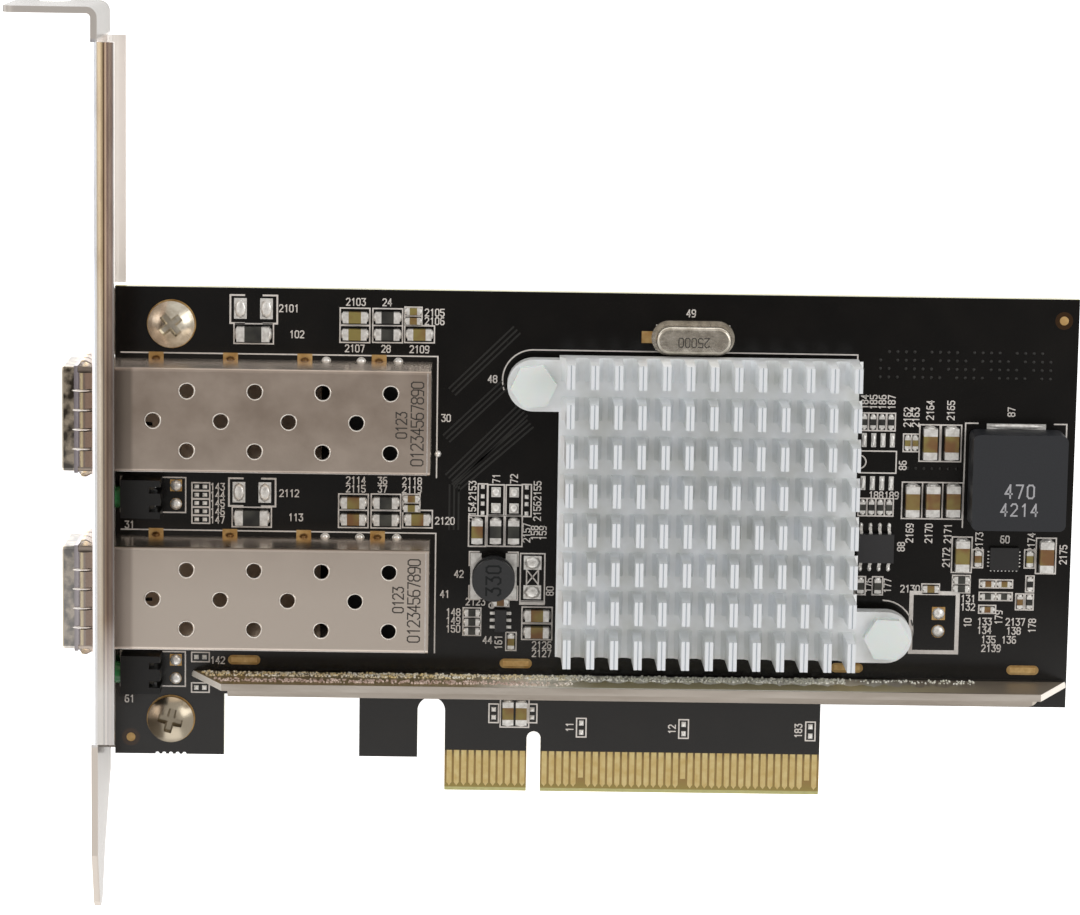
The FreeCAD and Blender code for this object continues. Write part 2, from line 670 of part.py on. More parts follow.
# --------------------------------------------------------------------- ports
# Each port: a folded, perforated cage with press-fit tails, its floor with
# the module latch, a collar of grounding fingers, and the host connector.
front = "(-cage_front)"
back_face = "(-cage_front+cage_length)"
for name, line in (("upper", port_lines[0]), ("lower", port_lines[1])):
    left = "(%s-cage_width/2)" % line
    right = "(%s+cage_width/2)" % line
    shell = body("Cage")
    fold = outline(sketch(shell, "YZ_Plane", front), [
        (left, "pad_skin"),
        (left, "cage_tall-cage_bend", "cage_bend"),
        ("%s+cage_bend" % left, "cage_tall"),
        ("%s-cage_bend" % right, "cage_tall", "cage_bend"),
        (right, "cage_tall-cage_bend"),
        (right, "pad_skin"),
        ("%s-cage_sheet" % right, "pad_skin"),
        ("%s-cage_sheet" % right, "cage_tall-cage_bend",
         "cage_sheet-cage_bend"),
        ("%s-cage_bend" % right, "cage_tall-cage_sheet"),
        ("%s+cage_bend" % left, "cage_tall-cage_sheet",
         "cage_sheet-cage_bend"),
        ("%s+cage_sheet" % left, "cage_tall-cage_bend"),
        ("%s+cage_sheet" % left, "pad_skin")])
    pad(shell, fold, "cage_length")
    rear = rectangle(sketch(shell, "YZ_Plane", "%s-cage_sheet" % back_face),
                     "%s+cage_sheet" % left, "floor_lift",
                     "cage_width-2*cage_sheet",
                     "cage_tall-cage_sheet-floor_lift")
    pad(shell, rear, "cage_sheet")
    tails = sketch(shell, "XY_Plane", "pad_skin")
    for wall in (left, "%s-cage_sheet" % right):
        rectangle(tails, "%s+tail_first-tail_width/2" % front, wall,
                  "tail_width", "cage_sheet")
    drop = pad(shell, tails, "pad_skin+board_thick+tail_drop", back=True)
    repeat(shell, [drop], "X_Axis", "tail_pitch", "tail_count")
    for start, rows in (("vent_first", (0,)),
                        ("vent_first+vent_pitch/2", (1, -1))):
        vents = circles(
            sketch(shell, "XY_Plane", "cage_tall+1"),
            [("%s+%s" % (front, start), "%s+(%d)*vent_row" % (line, side))
             for side in rows], "vent_diameter")
        repeat(shell, [pocket(shell, vents, "cage_sheet+2")], "X_Axis",
               "vent_pitch", "vent_count")
    node(shell, name + "_cage_shell")

    base = body("Floor")
    pad(base, rectangle(sketch(base, "XY_Plane", "floor_lift"), front,
                        "%s+cage_sheet" % left, "floor_length",
                        "cage_width-2*cage_sheet"), "cage_sheet")
    # the latch tongue is freed by a slit along each side
    slits = sketch(base, "XY_Plane", "floor_lift+1")
    for side in (1, -1):
        rectangle(slits, "%s+latch_first" % front,
                  "%s+(%d)*(latch_width/2+0.25)-0.25" % (line, side),
                  "latch_long", "0.5")
    pocket(base, slits, "cage_sheet+2")
    lock = outline(sketch(base, "XY_Plane", "floor_lift+1"), [
        ("%s+latch_first+1" % front, line),
        ("%s+latch_first+3" % front, "%s-1.1" % line),
        ("%s+latch_first+3" % front, "%s+1.1" % line)])
    pocket(base, lock, "cage_sheet+2")
    pad(base, rectangle(sketch(base, "XY_Plane", "floor_lift"),
                        "%s+kick_place" % front, "%s-0.8" % line,
                        "cage_sheet", "1.6"), "kick_tall")
    base.Tip = base.Group[-1]
    node(base, name + "_cage_floor")

    collar = body("Collar")
    near_x = "(%s+collar_start)" % front
    band = sketch(collar, "YZ_Plane", near_x)
    rectangle(band, "%s-collar_sheet" % left, "-collar_sheet",
              "cage_width+2*collar_sheet", "cage_tall+2*collar_sheet")
    rectangle(band, left, "0", "cage_width", "cage_tall")
    pad(collar, band, "0.5")

    def bowed(plane, offset, base_line, sign, length):
        """A strip of fingers bowed out from one side of the cage."""
        def out(rise):
            return "%s+(%d)*(%s)" % (base_line, sign, rise)
        points = [(0.25, "0", "collar_sheet"),
                  (0.55, "0", "collar_sheet"),
                  (0.95, "collar_rise-collar_sheet", "collar_rise"),
                  (1.55, "collar_rise-collar_sheet", "collar_rise"),
                  (None, "0.1", "collar_sheet+0.1")]
        def along(step):
            return "%s+%s" % (near_x, "collar_run" if step is None else step)
        upper = [(along(step), out(high)) for step, low, high in points]
        lower = [(along(step), out(low)) for step, low, high in points]
        strip = sketch(collar, plane, offset)
        ring = upper + lower[::-1]
        outline(strip, ring)
        pad(collar, strip, length)

    bowed("XZ_Plane", "-(%s)+0.7" % right, "cage_tall", 1, "cage_width-1.4")
    bowed("XZ_Plane", "-(%s)+0.7" % right, "0", -1, "cage_width-1.4")
    bowed("XY_Plane", "0.7", left, -1, "cage_tall-1.4")
    bowed("XY_Plane", "0.7", right, 1, "cage_tall-1.4")
    gaps = sketch(collar, "XY_Plane")
    step = "((cage_width-1.4+collar_slot)/collar_fingers)"
    for i in range(1, int(SIZE["collar_fingers"])):
        rectangle(gaps, "%s+0.5" % near_x,
                  "%s+0.7+%d*%s-collar_slot" % (left, i, step),
                  "collar_run+1", "collar_slot")
    pocket(collar, gaps)
    side_gaps = sketch(collar, "XZ_Plane")
    for i in (1, 2):
        rectangle(side_gaps, "%s+0.5" % near_x,
                  "0.7+%d*(cage_tall-1.4+collar_slot)/3-collar_slot" % i,
                  "collar_run+1", "collar_slot")
    pocket(collar, side_gaps)
    collar.Tip = collar.Group[-1]
    node(collar, name + "_grounding_collar")

    # host connector: card-edge socket with two rows of contacts
    host_x = "(%s-host_back-host_depth)" % back_face
    host = body("Host")
    pad(host, rectangle(sketch(host, "XY_Plane", "host_lead_thick"), host_x,
                        "%s-host_width/2" % line, "host_depth",
                        "host_width"), "host_tall-host_lead_thick")
    pocket(host, rectangle(sketch(host, "YZ_Plane", "%s-1" % host_x),
                           "%s-mouth_width/2" % line, "mouth_lift",
                           "mouth_width", "mouth_tall"),
           "mouth_deep+1", back=True)
    host.Tip = host.Group[-1]
    node(host, name + "_host_connector")
    leads = body("Leads")
    rear_foot = "(%s+host_depth)" % host_x
    first_lead = "(%s-(host_ways-1)*host_pitch/2)" % line
    bent = sketch(leads, "XZ_Plane", "-(%s)-host_lead/2" % first_lead)
    outline(bent, [
        (rear_foot, "0"), ("%s+host_foot" % rear_foot, "0"),
        ("%s+host_foot" % rear_foot, "host_lead_thick"),
        ("%s+host_lead_thick" % rear_foot, "host_lead_thick"),
        ("%s+host_lead_thick" % rear_foot, "host_riser"),
        (rear_foot, "host_riser")])
    outline(bent, [
        ("%s-host_foot" % host_x, "0"), (host_x, "0"),
        (host_x, "host_riser"),
        ("%s-host_lead_thick" % host_x, "host_riser"),
        ("%s-host_lead_thick" % host_x, "host_lead_thick"),
        ("%s-host_foot" % host_x, "host_lead_thick")])
    repeat(leads, [pad(leads, bent, "host_lead")], "Y_Axis", "host_pitch",
           "host_ways")
    node(leads, name + "_connector_contacts")

# ------------------------------------------------------------------- cooling
# An extruded fin profile, cross-cut into pins, with two lugs for the nylon
# push pins, over the controller and its thermal pad.
sink_left = "(chip_x+sink_shift_x-sink_long/2)"
sink_high = "(chip_y+sink_shift_y+sink_deep/2)"
sink = body("SinkBody")
pad(sink, rectangle(sketch(sink, "XY_Plane", "sink_seat"), sink_left,
                    "%s-sink_deep" % sink_high, "sink_long", "sink_deep"),
    "sink_base")
for (x, y), edge in ((pin_spots[0], sink_left),
                     (pin_spots[1], "%s+sink_long" % sink_left)):
    lug = sketch(sink, "XY_Plane", "sink_seat")
    way = "right" if edge == sink_left else "left"
    outline(lug, [(edge, "%s+ear_round" % y), (x, "%s+ear_round" % y, way),
                  (x, "%s-ear_round" % y), (edge, "%s-ear_round" % y)])
    pad(sink, lug, "sink_base")
floor_z = "(sink_seat+sink_base)"
fin_x = "(%s+fin_first)" % sink_left
fin = outline(sketch(sink, "XZ_Plane", "-%s" % sink_high), [
    ("%s-fin_root/2-fin_flare" % fin_x, floor_z),
    ("%s-fin_root/2" % fin_x, "%s+fin_flare" % floor_z),
    ("%s-fin_tip/2" % fin_x, "sink_top"),
    ("%s-fin_groove" % fin_x, "sink_top"),
    (fin_x, "sink_top-fin_groove"),
    ("%s+fin_groove" % fin_x, "sink_top"),
    ("%s+fin_tip/2" % fin_x, "sink_top"),
    ("%s+fin_root/2" % fin_x, "%s+fin_flare" % floor_z),
    ("%s+fin_root/2+fin_flare" % fin_x, floor_z)])
fins = repeat(sink, [pad(sink, fin, "sink_deep")], "X_Axis", "fin_pitch",
              "fin_count")
low_cut = ("%s-cross_first-cross_slot-(cross_count-1)*cross_pitch"
           % sink_high)
channel = pocket(sink, rectangle(
    sketch(sink, "XY_Plane", "sink_top+1"), "%s-1" % sink_left, low_cut,
    "sink_long+2", "cross_slot"), "sink_top+1-%s" % floor_z)
repeat(sink, [channel], "Y_Axis", "cross_pitch", "cross_count")
pocket(sink, circles(sketch(sink, "XY_Plane"), pin_spots, "pin_hole"))
sink.Tip = sink.Group[-1]
node(sink, "heat_sink")

node(centred_box("chip_x", "chip_y", "0", "chip_side", "chip_side",
                 "chip_substrate"), "controller_chip")
node(centred_box("chip_x", "chip_y", "chip_substrate", "lid_side",
                 "lid_side", "lid_tall"), "controller_lid")
node(centred_box("chip_x", "chip_y", "chip_substrate+lid_tall", "pad_side",
                 "pad_side", "sink_seat-chip_substrate-lid_tall"),
     "thermal_pad")

pins = []
for (x, y), turn in zip(pin_spots, (6, -2)):
    head = doc.addObject("Part::Prism", "Head")
    head.Polygon = 6
    bind(head, "Circumradius", "pin_flats/sqrt(3)")
    bind(head, "Height", "pin_head")
    head.Placement = Placement(Vector(), Rotation(Vector(0, 0, 1), turn))
    place(head, x, y, floor_z)
    shaft = rod(x, y, "-board_thick-barb_drop*0.4", "pin_shank",
                "%s+board_thick+barb_drop*0.4" % floor_z)
    barb = doc.addObject("Part::Cone", "Barb")
    bind(barb, "Radius1", "pin_shank/2-barb_spread")
    bind(barb, "Radius2", "pin_hole/2+barb_spread")
    bind(barb, "Height", "barb_drop")
    place(barb, x, y, "-board_thick-barb_drop")
    pins.append(fuse([head, shaft, barb]))
group("push_pins", pins)

# ---------------------------------------------------------------------- rail
# Stiffener folded from sheet: a tall wall with raked ends, and a foot along
# the lower edge of the board.
rail = body("RailBody")
wall = outline(sketch(rail, "XZ_Plane", "-rail_face"), [
    ("-rail_left", "0"), ("rail_right", "0"),
    ("rail_right-rail_slope", "rail_tall"),
    ("-rail_left+rail_slope", "rail_tall")])
pad(rail, wall, "rail_sheet")
foot_low = "(rail_face-rail_foot)"
foot = outline(sketch(rail, "XY_Plane"), [
    ("-rail_foot_left", "rail_face"), ("-rail_foot_left", foot_low),
    ("rail_foot_right-rail_corner", foot_low, "-rail_corner"),
    ("rail_foot_right", "%s+rail_corner" % foot_low),
    ("rail_foot_right", "rail_face")])
shelf = pad(rail, foot, "rail_sheet")
round_edges(rail, shelf, "rail_bend", lambda e: runs(e, "x")
            and near(e.Vertexes[0].Y, size("rail_face"))
            and near(e.Vertexes[0].Z, 0))
node(rail, "stiffener_rail")


# ------------------------------------------------------------------- crystal
def capsule(owner, z, x, y, long, wide, tall):
    """A round-ended slab lying along X."""
    half = "((%s)-(%s))/2" % (long, wide)
    r = "(%s)/2" % wide
    made = outline(sketch(owner, "XY_Plane", z), [
        ("%s-%s" % (x, half), "%s-%s" % (y, r)),
        ("%s+%s" % (x, half), "%s-%s" % (y, r), "right"),
        ("%s+%s" % (x, half), "%s+%s" % (y, r)),
        ("%s-%s" % (x, half), "%s+%s" % (y, r), "right")])
    return pad(owner, made, tall)


flange = body("Flange")
capsule(flange, "pad_skin", "crystal_x", "crystal_y", "crystal_long",
        "crystal_wide", "crystal_base")
flange.Tip = flange.Group[-1]
node(flange, "crystal_base")
can = body("Can")
drawn = capsule(can, "pad_skin+crystal_base", "crystal_x", "crystal_y",
                "can_long", "can_wide", "can_tall")
round_edges(can, drawn, "can_round", lambda e: near(
    e.BoundBox.ZMin, size("pad_skin") + size("crystal_base")
    + size("can_tall")))
node(can, "crystal_can")

# ----------------------------------------------------------------- inductors
choke = body("Choke")
block = pad(choke, rectangle(sketch(choke, "XY_Plane", "choke_lift"),
                             "choke_x-choke_width/2", "choke_y-choke_side/2",
                             "choke_width", "choke_side"),
            "choke_tall-choke_lift")
round_edges(choke, block, "choke_round", lambda e: runs(e, "z"))
node(choke, "power_inductor_body")
group("power_inductor_terminals", [
    centred_box("choke_x", "choke_y+choke_side/2+choke_lug_out/2-1.2", "0",
                "choke_lug", "choke_lug_out+2.4", "choke_lug_thick"),
    centred_box("choke_x", "choke_y-choke_side/2-choke_lug_out/2+1.2", "0",
                "choke_lug_low", "choke_lug_out+2.4", "choke_lug_thick")])

node(fuse([
    rod("drum_x", "drum_y", "drum_foot_thick", "drum_diameter", "drum_rim"),
    rod("drum_x", "drum_y", "drum_foot_thick", "drum_waist",
        "drum_tall-drum_foot_thick"),
    rod("drum_x", "drum_y", "drum_tall-drum_rim", "drum_diameter",
        "drum_rim")]), "drum_inductor_core")
group("drum_inductor_terminals", [
    centred_box("drum_x+(%d)*(drum_plate-drum_foot)/2" % side, "drum_y", "0",
                "drum_foot", "drum_plate", "drum_foot_thick")
    for side in (-1, 1)])

# ---------------------------------------------------------------- indicators
# Right-angle lamp housings whose lenses look out through the bracket. The
# pins stand in two slots that are open to the rear.
housings, lenses, lamp_pins = [], [], []
for line in ("led_high", "led_low"):
    shell = box("-led_front", "%s-led_wide/2" % line, "0", "led_deep",
                "led_wide", "led_tall")
    hollows = [rod("-led_front-1", line, "led_axis", "lens_diameter", "2.2",
                   along="x")]
    lenses.append(rod("-bracket_outer+lens_recess", line, "led_axis",
                      "lens_diameter", "bracket_outer-lens_recess-led_front"
                      "+1.2", along="x"))
    for side in (1, -1):
        y = "%s+(%d)*led_pin_pitch/2" % (line, side)
        hollows.append(box(
            "led_deep-led_front-led_slot", "%s-led_slot_wide/2" % y, "-1",
            "led_slot+1", "led_slot_wide", "led_tall+2"))
        lamp_pins.append(box(
            "-led_pin_x-led_pin/2", "%s-led_pin/2" % y,
            "-board_thick-led_pin_drop", "led_pin", "led_pin",
            "led_axis+led_pin/2+board_thick+led_pin_drop"))
    housings.append(cut(shell, fuse(hollows)))
group("led_housings", housings)
group("led_lenses", lenses)
group("led_pins", lamp_pins)

# ---------------------------------------------------------------- chip parts
# Two-ended chips: a ceramic body between two metal ends. Each list gives the
# centre of every chip of one case size, and the way it lies.
CHIPS = {
    "capacitor": {
        "cap": [(52.95, 49.1, "y"), (55.85, 49.15, "y"), (50.8, 41.2, "y"),
                (53.55, 41.25, "y"), (56.3, 41.3, "y"), (57.8, 33.8, "y"),
                (69.25, 33.8, "y")],
        "mid": [(-24.9, 65.15, "x"), (-24.9, 62.85, "x"), (-16.2, 62.95, "x"),
                (-24.9, 39.9, "x"), (-24.9, 37.6, "x"), (-16.2, 37.7, "x"),
                (-8.1, 36.15, "y"), (0.2, 24.65, "x"), (0.2, 22.35, "x"),
                (-3.55, 11.05, "y"), (-1.75, 11.05, "y")],
        "small": [(-17.05, 66.05, "x"), (-17.05, 64.75, "x"),
                  (-17.05, 40.5, "x"), (-17.05, 39.2, "x"),
                  (-4.8, 26.4, "x"), (-3.3, 20.95, "y"), (60.0, 33.3, "y"),
                  (67.05, 33.35, "y"), (53.7, 29.05, "x")],
        "tiny": [(49.95, 49.1, "y"), (51.0, 49.1, "y"), (61.5, 29.85, "x"),
                 (63.7, 29.85, "x"), (61.5, 26.3, "x"), (65.9, 27.4, "y")],
    },
    "resistor": {
        "surge": [("11.0-screw_x", 62.7, "x"), ("10.9-screw_x", 37.65, "x")],
        "mid": [(-5.6, 36.2, "y"), (-3.15, 36.2, "y"), (-20.5, 65.2, "x"),
                (-20.5, 62.9, "x"), (-20.5, 39.95, "x"), (-20.5, 37.6, "x")],
        "small": [(-8.65, 24.9, "x"), (-8.65, 23.6, "x"), (-8.65, 22.35, "x"),
                  (44.1, 29.35, "y"), (46.45, 29.35, "y"),
                  (57.85, 30.35, "x"), (57.85, 29.15, "x")],
        "tiny": [(44.0, 51.9, "y"), (45.2, 51.9, "y"), (46.4, 51.9, "y"),
                 (47.65, 51.9, "y"), (44.1, 40.2, "y"), (45.3, 40.2, "y"),
                 (46.5, 40.2, "y"), (47.7, 40.2, "y"), (61.5, 28.1, "x"),
                 (63.7, 28.1, "x"), (67.2, 29.9, "y"), (67.2, 27.4, "y")],
    },
}


def chip(x, y, way, case):
    """Body and two ends of one chip, on the tinned pads."""
    long, wide, tall = (case + end for end in ("_long", "_wide", "_tall"))
    cap = "%s*end_share" % long
    parts = []
    for offset, run in (("0", "%s-2*%s" % (long, cap)),
                        ("%s/2-%s/2" % (long, cap), cap),
                        ("-%s/2+%s/2" % (long, cap), cap)):
        if way == "x":
            parts.append(centred_box("%s+%s" % (x, offset), y, "pad_skin",
                                     run, wide, tall))
        else:
            parts.append(centred_box(x, "%s+%s" % (y, offset), "pad_skin",
                                     wide, run, tall))
    return parts[0], parts[1:]


for kind, cases in CHIPS.items():
    bodies, ends = [], []
    for case, spots in cases.items():
        for x, y, way in spots:
            middle, caps = chip(x, y, way, case)
            bodies.append(middle)
            ends += caps
    group(kind + "_bodies", bodies)
    group(kind + "_terminals", ends)

# ------------------------------------------------------------ small packages
def gull_wings(x, y, span, package, pitch, count, wide, lift):
    """Two rows of bent leads, along X, from the package's sides to the span."""
    owner = body("Wings")
    first = "%s-(%d)*%s/2-%s/2" % (x, count - 1, pitch, wide)
    made = sketch(owner, "YZ_Plane", first)
    for side in (1, -1):
        def out(reach):
            return "%s+(%d)*(%s)" % (y, side, reach)
        outline(made, [
            (out("%s/2" % span), "0"),
            (out("%s/2" % span), "lead_thick"),
            (out("%s/2-0.55" % span), "lead_thick"),
            (out("%s/2-0.75" % span), "%s+lead_thick" % lift),
            (out("%s/2" % package), "%s+lead_thick" % lift),
            (out("%s/2" % package), lift),
            (out("%s/2-0.75-lead_thick*0.75" % span), lift),
            (out("%s/2-0.55-lead_thick*0.75" % span), "0")])
    repeat(owner, [pad(owner, made, wide)], "X_Axis", pitch, str(count))
    return owner


soic = body("Soic")
slab = pad(soic, rectangle(sketch(soic, "XY_Plane", "soic_lift"),
                           "soic_x-soic_long/2", "soic_y-soic_wide/2",
                           "soic_long", "soic_wide"), "soic_tall-soic_lift")
node(soic, "regulator_body")
node(gull_wings("soic_x", "soic_y", "soic_span", "soic_wide", "soic_pitch",
                4, "soic_lead", "soic_tall/2"), "regulator_leads")
group("small_chips", [
    centred_box("sot_x", "sot_y", "soic_lift", "sot_wide", "sot_long",
                "sot_tall-soic_lift"),
    centred_box("qfn_x", "qfn_y", "pad_skin", "qfn_long", "qfn_wide",
                "qfn_tall")])
sot_leads = []
for i in (-1, 0, 1):
    for side in (1, -1):
        sot_leads.append(centred_box(
            "sot_x+(%d)*(sot_wide/2+(sot_span-sot_wide)/4)" % side,
            "sot_y+(%d)*sot_pitch" % i, "0", "(sot_span-sot_wide)/2",
            "sot_lead", "lead_thick*2"))
group("small_chip_leads", sot_leads)

# ------------------------------------------------------------- gold features
# Bare plated copper: the oblong slots by the rail, rings under the screws,
# the tail lands of the cages, jumper lands and alignment marks.
gold = []


def land(x, y, long, wide, hole=None):
    plate = centred_box(x, y, "0", long, wide, "pad_skin")
    if hole is None:
        return plate
    return cut(plate, rod(x, y, "-1", hole, "2"))


def disc(x, y, across, hole=None):
    plate = rod(x, y, "0", across, "pad_skin")
    if hole is None:
        return plate
    return cut(plate, rod(x, y, "-1", hole, "2"))


for x in ("slot_first", "slot_middle", "slot_third", "slot_fourth"):
    oblong = body("Oblong")
    capsule(oblong, "0", x, "slot_y", "slot_long", "slot_wide", "pad_skin")
    centre = rectangle(sketch(oblong, "XY_Plane", "1"),
                       "%s-slot_long/2+slot_wide/2" % x,
                       "slot_y-slot_cut/2", "slot_long-slot_wide",
                       "slot_cut")
    pocket(oblong, centre, "2")
    oblong.Tip = oblong.Group[-1]
    gold.append(oblong)
for x, y in screw_spots:
    gold.append(disc(x, y, "screw_pad", "shank_diameter+2*hole_clear"))
gold.append(disc("mark_inset-board_left", "6.95", "mark_pad"))
gold.append(disc("70.6", "66", "mark_pad"))
gold.append(land("jack_x", "jack_y+jack_pitch/2", "jack_pad", "jack_pad",
                 "jack_hole"))
gold.append(disc("jack_x", "jack_y-jack_pitch/2", "jack_pad", "jack_hole"))
for line in ("led_high", "led_low"):
    gold.append(land("-led_pad_x", "%s+led_pin_pitch/2" % line, "led_pad",
                     "led_pad"))
    gold.append(disc("-led_pad_x", "%s-led_pin_pitch/2" % line, "led_pad"))
gold.append(land("crystal_x-crystal_long/2-0.5", "crystal_y", "1.6", "1.6"))
for line in tail_rows:
    for i in range(int(SIZE["tail_count"])):
        gold.append(land("tail_first-cage_front+%d*tail_pitch" % i, line,
                         "tail_pad", "tail_pad", "tail_width+2*tail_clear"))
group("gold_lands", gold)

# tinned lands of the chip parts that are not fitted
EMPTY_LANDS = [
    # centre of the pair, the way it lies, land spacing, land size
    ("11.0-screw_x", 66.1, "x", 3.5, 1.7, 2.8),
    ("10.9-screw_x", 41.05, "x", 3.5, 1.7, 2.8),
    (-5.6, 40.45, "y", 2.2, 1.35, 1.25), (-3.15, 40.45, "y", 2.2, 1.35, 1.25),
    (-0.5, 29.85, "y", 4.05, 1.9, 2.4),
    (-5.5, 10.9, "y", 1.1, 0.6, 0.6), (-0.25, 10.95, "y", 1.1, 0.6, 0.6),
    (6.5, 9.05, "y", 1.3, 0.7, 0.6), (20.5, 9.05, "y", 1.3, 0.7, 0.6),
    (37.85, 8.95, "y", 1.3, 0.7, 0.6),
    ("strip_x", 18.2, "x", 1.1, 0.6, 0.6),
    ("strip_x", 13.95, "x", 1.1, 0.6, 0.6)]
EMPTY_LANDS += [("strip_x", 41.75 - 1.13 * i, "x", 1.1, 0.6, 0.5)
                for i in range(5)]
EMPTY_LANDS += [(x, y, "y", 1.3, 0.55, 0.5)
                for x in (-7.4, -1.45) for y in (41.6, 39.3)]
tin = []
for x, y, way, gap, along, across in EMPTY_LANDS:
    for side in (-1, 1):
        shift = side * gap / 2
        tin.append(
            centred_box("%s+(%g)" % (x, shift), y, "0", along, across,
                        "pad_skin") if way == "x" else
            centred_box(x, y + shift, "0", across, along, "pad_skin"))
# soldered points beside the host connectors, half under the cage walls
for line, side in zip(tail_rows[::2], (1, 1)):
    for behind in (4.55, 9.55, 14.25):
        tin.append(disc("-cage_rear-%g" % behind, line, "ground_pad"))
# empty eight-lead footprint beside the heat sink
for i in range(4):
    for side in (1, -1):
        tin.append(centred_box("46.0+(%g)*soic_pitch" % (i - 1.5),
                               46.45 + side * 2.95, "0", "0.65", "1.9",
                               "pad_skin"))
# lands under the fitted chips, and under the small leadless package
for cases in CHIPS.values():
    for case, spots in cases.items():
        for x, y, way in spots:
            run, wide = "%s_long*end_share" % case, "%s_wide" % case
            for side in (-1, 1):
                shift = "(%d)*(%s_long-%s)/2" % (side, case, run)
                tin.append(
                    centred_box("%s+%s" % (x, shift), y, "0", run, wide,
                                "pad_skin") if way == "x" else
                    centred_box(x, "%s+%s" % (y, shift), "0", wide, run,
                                "pad_skin"))
tin.append(centred_box("qfn_x", "qfn_y", "0", "qfn_long-0.6",
                       "qfn_wide-0.6", "pad_skin"))
tin.append(centred_box("crystal_x", "crystal_y", "0", "crystal_long-1.2",
                       "crystal_wide-1.2", "pad_skin"))
group("tinned_lands", tin)

# -------------------------------------------------------------------- output
doc.recompute()
failed = [obj.Label for obj in doc.Objects
          if "Invalid" in obj.State or "Error" in obj.State]
for part in NODES:
    if part.Shape.isNull() or not part.Shape.isValid():
        failed.append(part.Label)
if failed:
    raise RuntimeError("did not build: " + ", ".join(failed))
os.makedirs("parts", exist_ok=True)
for part in NODES:
    part.Shape.exportStep(os.path.join("parts", part.Label + ".step"))
print(len(NODES), "nodes")
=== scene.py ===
"""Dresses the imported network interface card: its finishes, its white print and its solder."""
import math
import random

import bmesh
import bpy
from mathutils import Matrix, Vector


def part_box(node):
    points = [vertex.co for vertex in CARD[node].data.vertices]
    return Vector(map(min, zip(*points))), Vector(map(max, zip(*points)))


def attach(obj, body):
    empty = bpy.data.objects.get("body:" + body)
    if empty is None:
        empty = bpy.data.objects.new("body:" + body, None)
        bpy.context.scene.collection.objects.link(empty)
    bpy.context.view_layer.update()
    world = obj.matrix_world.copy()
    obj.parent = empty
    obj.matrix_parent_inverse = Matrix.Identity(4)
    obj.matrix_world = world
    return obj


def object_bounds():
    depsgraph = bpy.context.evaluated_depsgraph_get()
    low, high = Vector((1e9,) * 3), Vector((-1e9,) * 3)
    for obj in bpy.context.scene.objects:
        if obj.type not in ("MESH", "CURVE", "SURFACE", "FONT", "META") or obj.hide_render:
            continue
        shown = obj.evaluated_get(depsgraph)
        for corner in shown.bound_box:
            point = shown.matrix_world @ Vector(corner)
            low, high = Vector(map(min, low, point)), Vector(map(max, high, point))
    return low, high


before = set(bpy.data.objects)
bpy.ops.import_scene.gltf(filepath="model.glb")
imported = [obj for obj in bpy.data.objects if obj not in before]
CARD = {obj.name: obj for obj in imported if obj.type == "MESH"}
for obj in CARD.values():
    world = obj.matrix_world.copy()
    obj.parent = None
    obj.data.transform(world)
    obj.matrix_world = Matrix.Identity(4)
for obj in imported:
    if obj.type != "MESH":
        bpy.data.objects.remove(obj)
cad_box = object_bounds()


# ---------------- studio
# A lit white sheet under the card, three soft lights round it under a pale sky
# with a dim patch overhead, and a long lens above the board's upper edge.
MM = 0.001
FLOOR_SIZE = 3.0
LENS, SENSOR = 135.54, 36.0
CAMERA_PLACE = (-6.33 * MM, 133.45 * MM, 543.02 * MM)
CAMERA_TILT = (-0.15916, -0.00963, 0.015724)
SKY_SIDE, SKY_TOP, SKY_STRENGTH = "#F4F1EE", "#3E332B", 0.8
# the dim patch: its direction, and the cosines at which it starts and is full
SKY_AXIS, SKY_TURN = (0.050, -0.030, 0.998), (0.9715, 0.9940)
LIGHTS = (("key", (0.65, 0.30, 0.75), 0.5, 2.0), ("fill", (-0.7, 0.25, 0.6), 0.6, 1.0),
          ("front", (0.0, -0.75, 0.55), 0.7, 1.6))


def linear(colour):
    """Linear RGBA from an sRGB hex value."""
    parts = [int(colour[i:i + 2], 16) / 255 for i in (1, 3, 5)]
    return tuple(p / 12.92 if p <= 0.04045 else ((p + 0.055) / 1.055) ** 2.4
                 for p in parts) + (1.0,)


def fill(node, inputs):
    """Fills a node's sockets, by name or in turn, with links, numbers or sRGB hex colours."""
    if isinstance(inputs, dict):
        filled = [(node.inputs[name], value) for name, value in inputs.items()]
    else:
        filled = zip([socket for socket in node.inputs if socket.enabled], inputs)
    for socket, value in filled:
        if isinstance(value, bpy.types.NodeSocket):
            node.id_data.links.new(value, socket)
        else:
            socket.default_value = linear(value) if str(value).startswith("#") else value


def add(tree, kind, inputs=(), **settings):
    """Adds a node with its settings and its sockets filled, and gives its first output."""
    node = tree.nodes.new(kind)
    for name, value in settings.items():
        setattr(node, name, value)
    fill(node, inputs)
    return next((socket for socket in node.outputs if socket.enabled), None)


def finish(name, **sockets):
    """A new material, its tree and its Principled shader with what is the same all over."""
    material = bpy.data.materials.new(name)
    material.use_nodes = True
    shader = material.node_tree.nodes["Principled BSDF"]
    fill(shader, {socket.replace("_", " "): value for socket, value in sockets.items()})
    return material, material.node_tree, shader


def link_object(name, mesh):
    """A new object at the origin that holds the mesh."""
    made = bpy.data.objects.new(name, mesh)
    bpy.context.scene.collection.objects.link(made)
    return made


# matt and lit through, so it reads as a plain white ground with hardly a shadow
paper = finish("lit white acrylic", Base_Color="#FAFAFA", Roughness=0.9,
               Emission_Color="#FFFFFF", Emission_Strength=0.9)[0]
low, half = cad_box[0][2], FLOOR_SIZE / 2
floor_mesh = bpy.data.meshes.new("floor")
floor_mesh.from_pydata([(-half, -half, low), (half, -half, low), (half, half, low), (-half, half, low)],
                       [], [(0, 1, 2, 3)])
floor_mesh.materials.append(paper)
link_object("floor", floor_mesh)

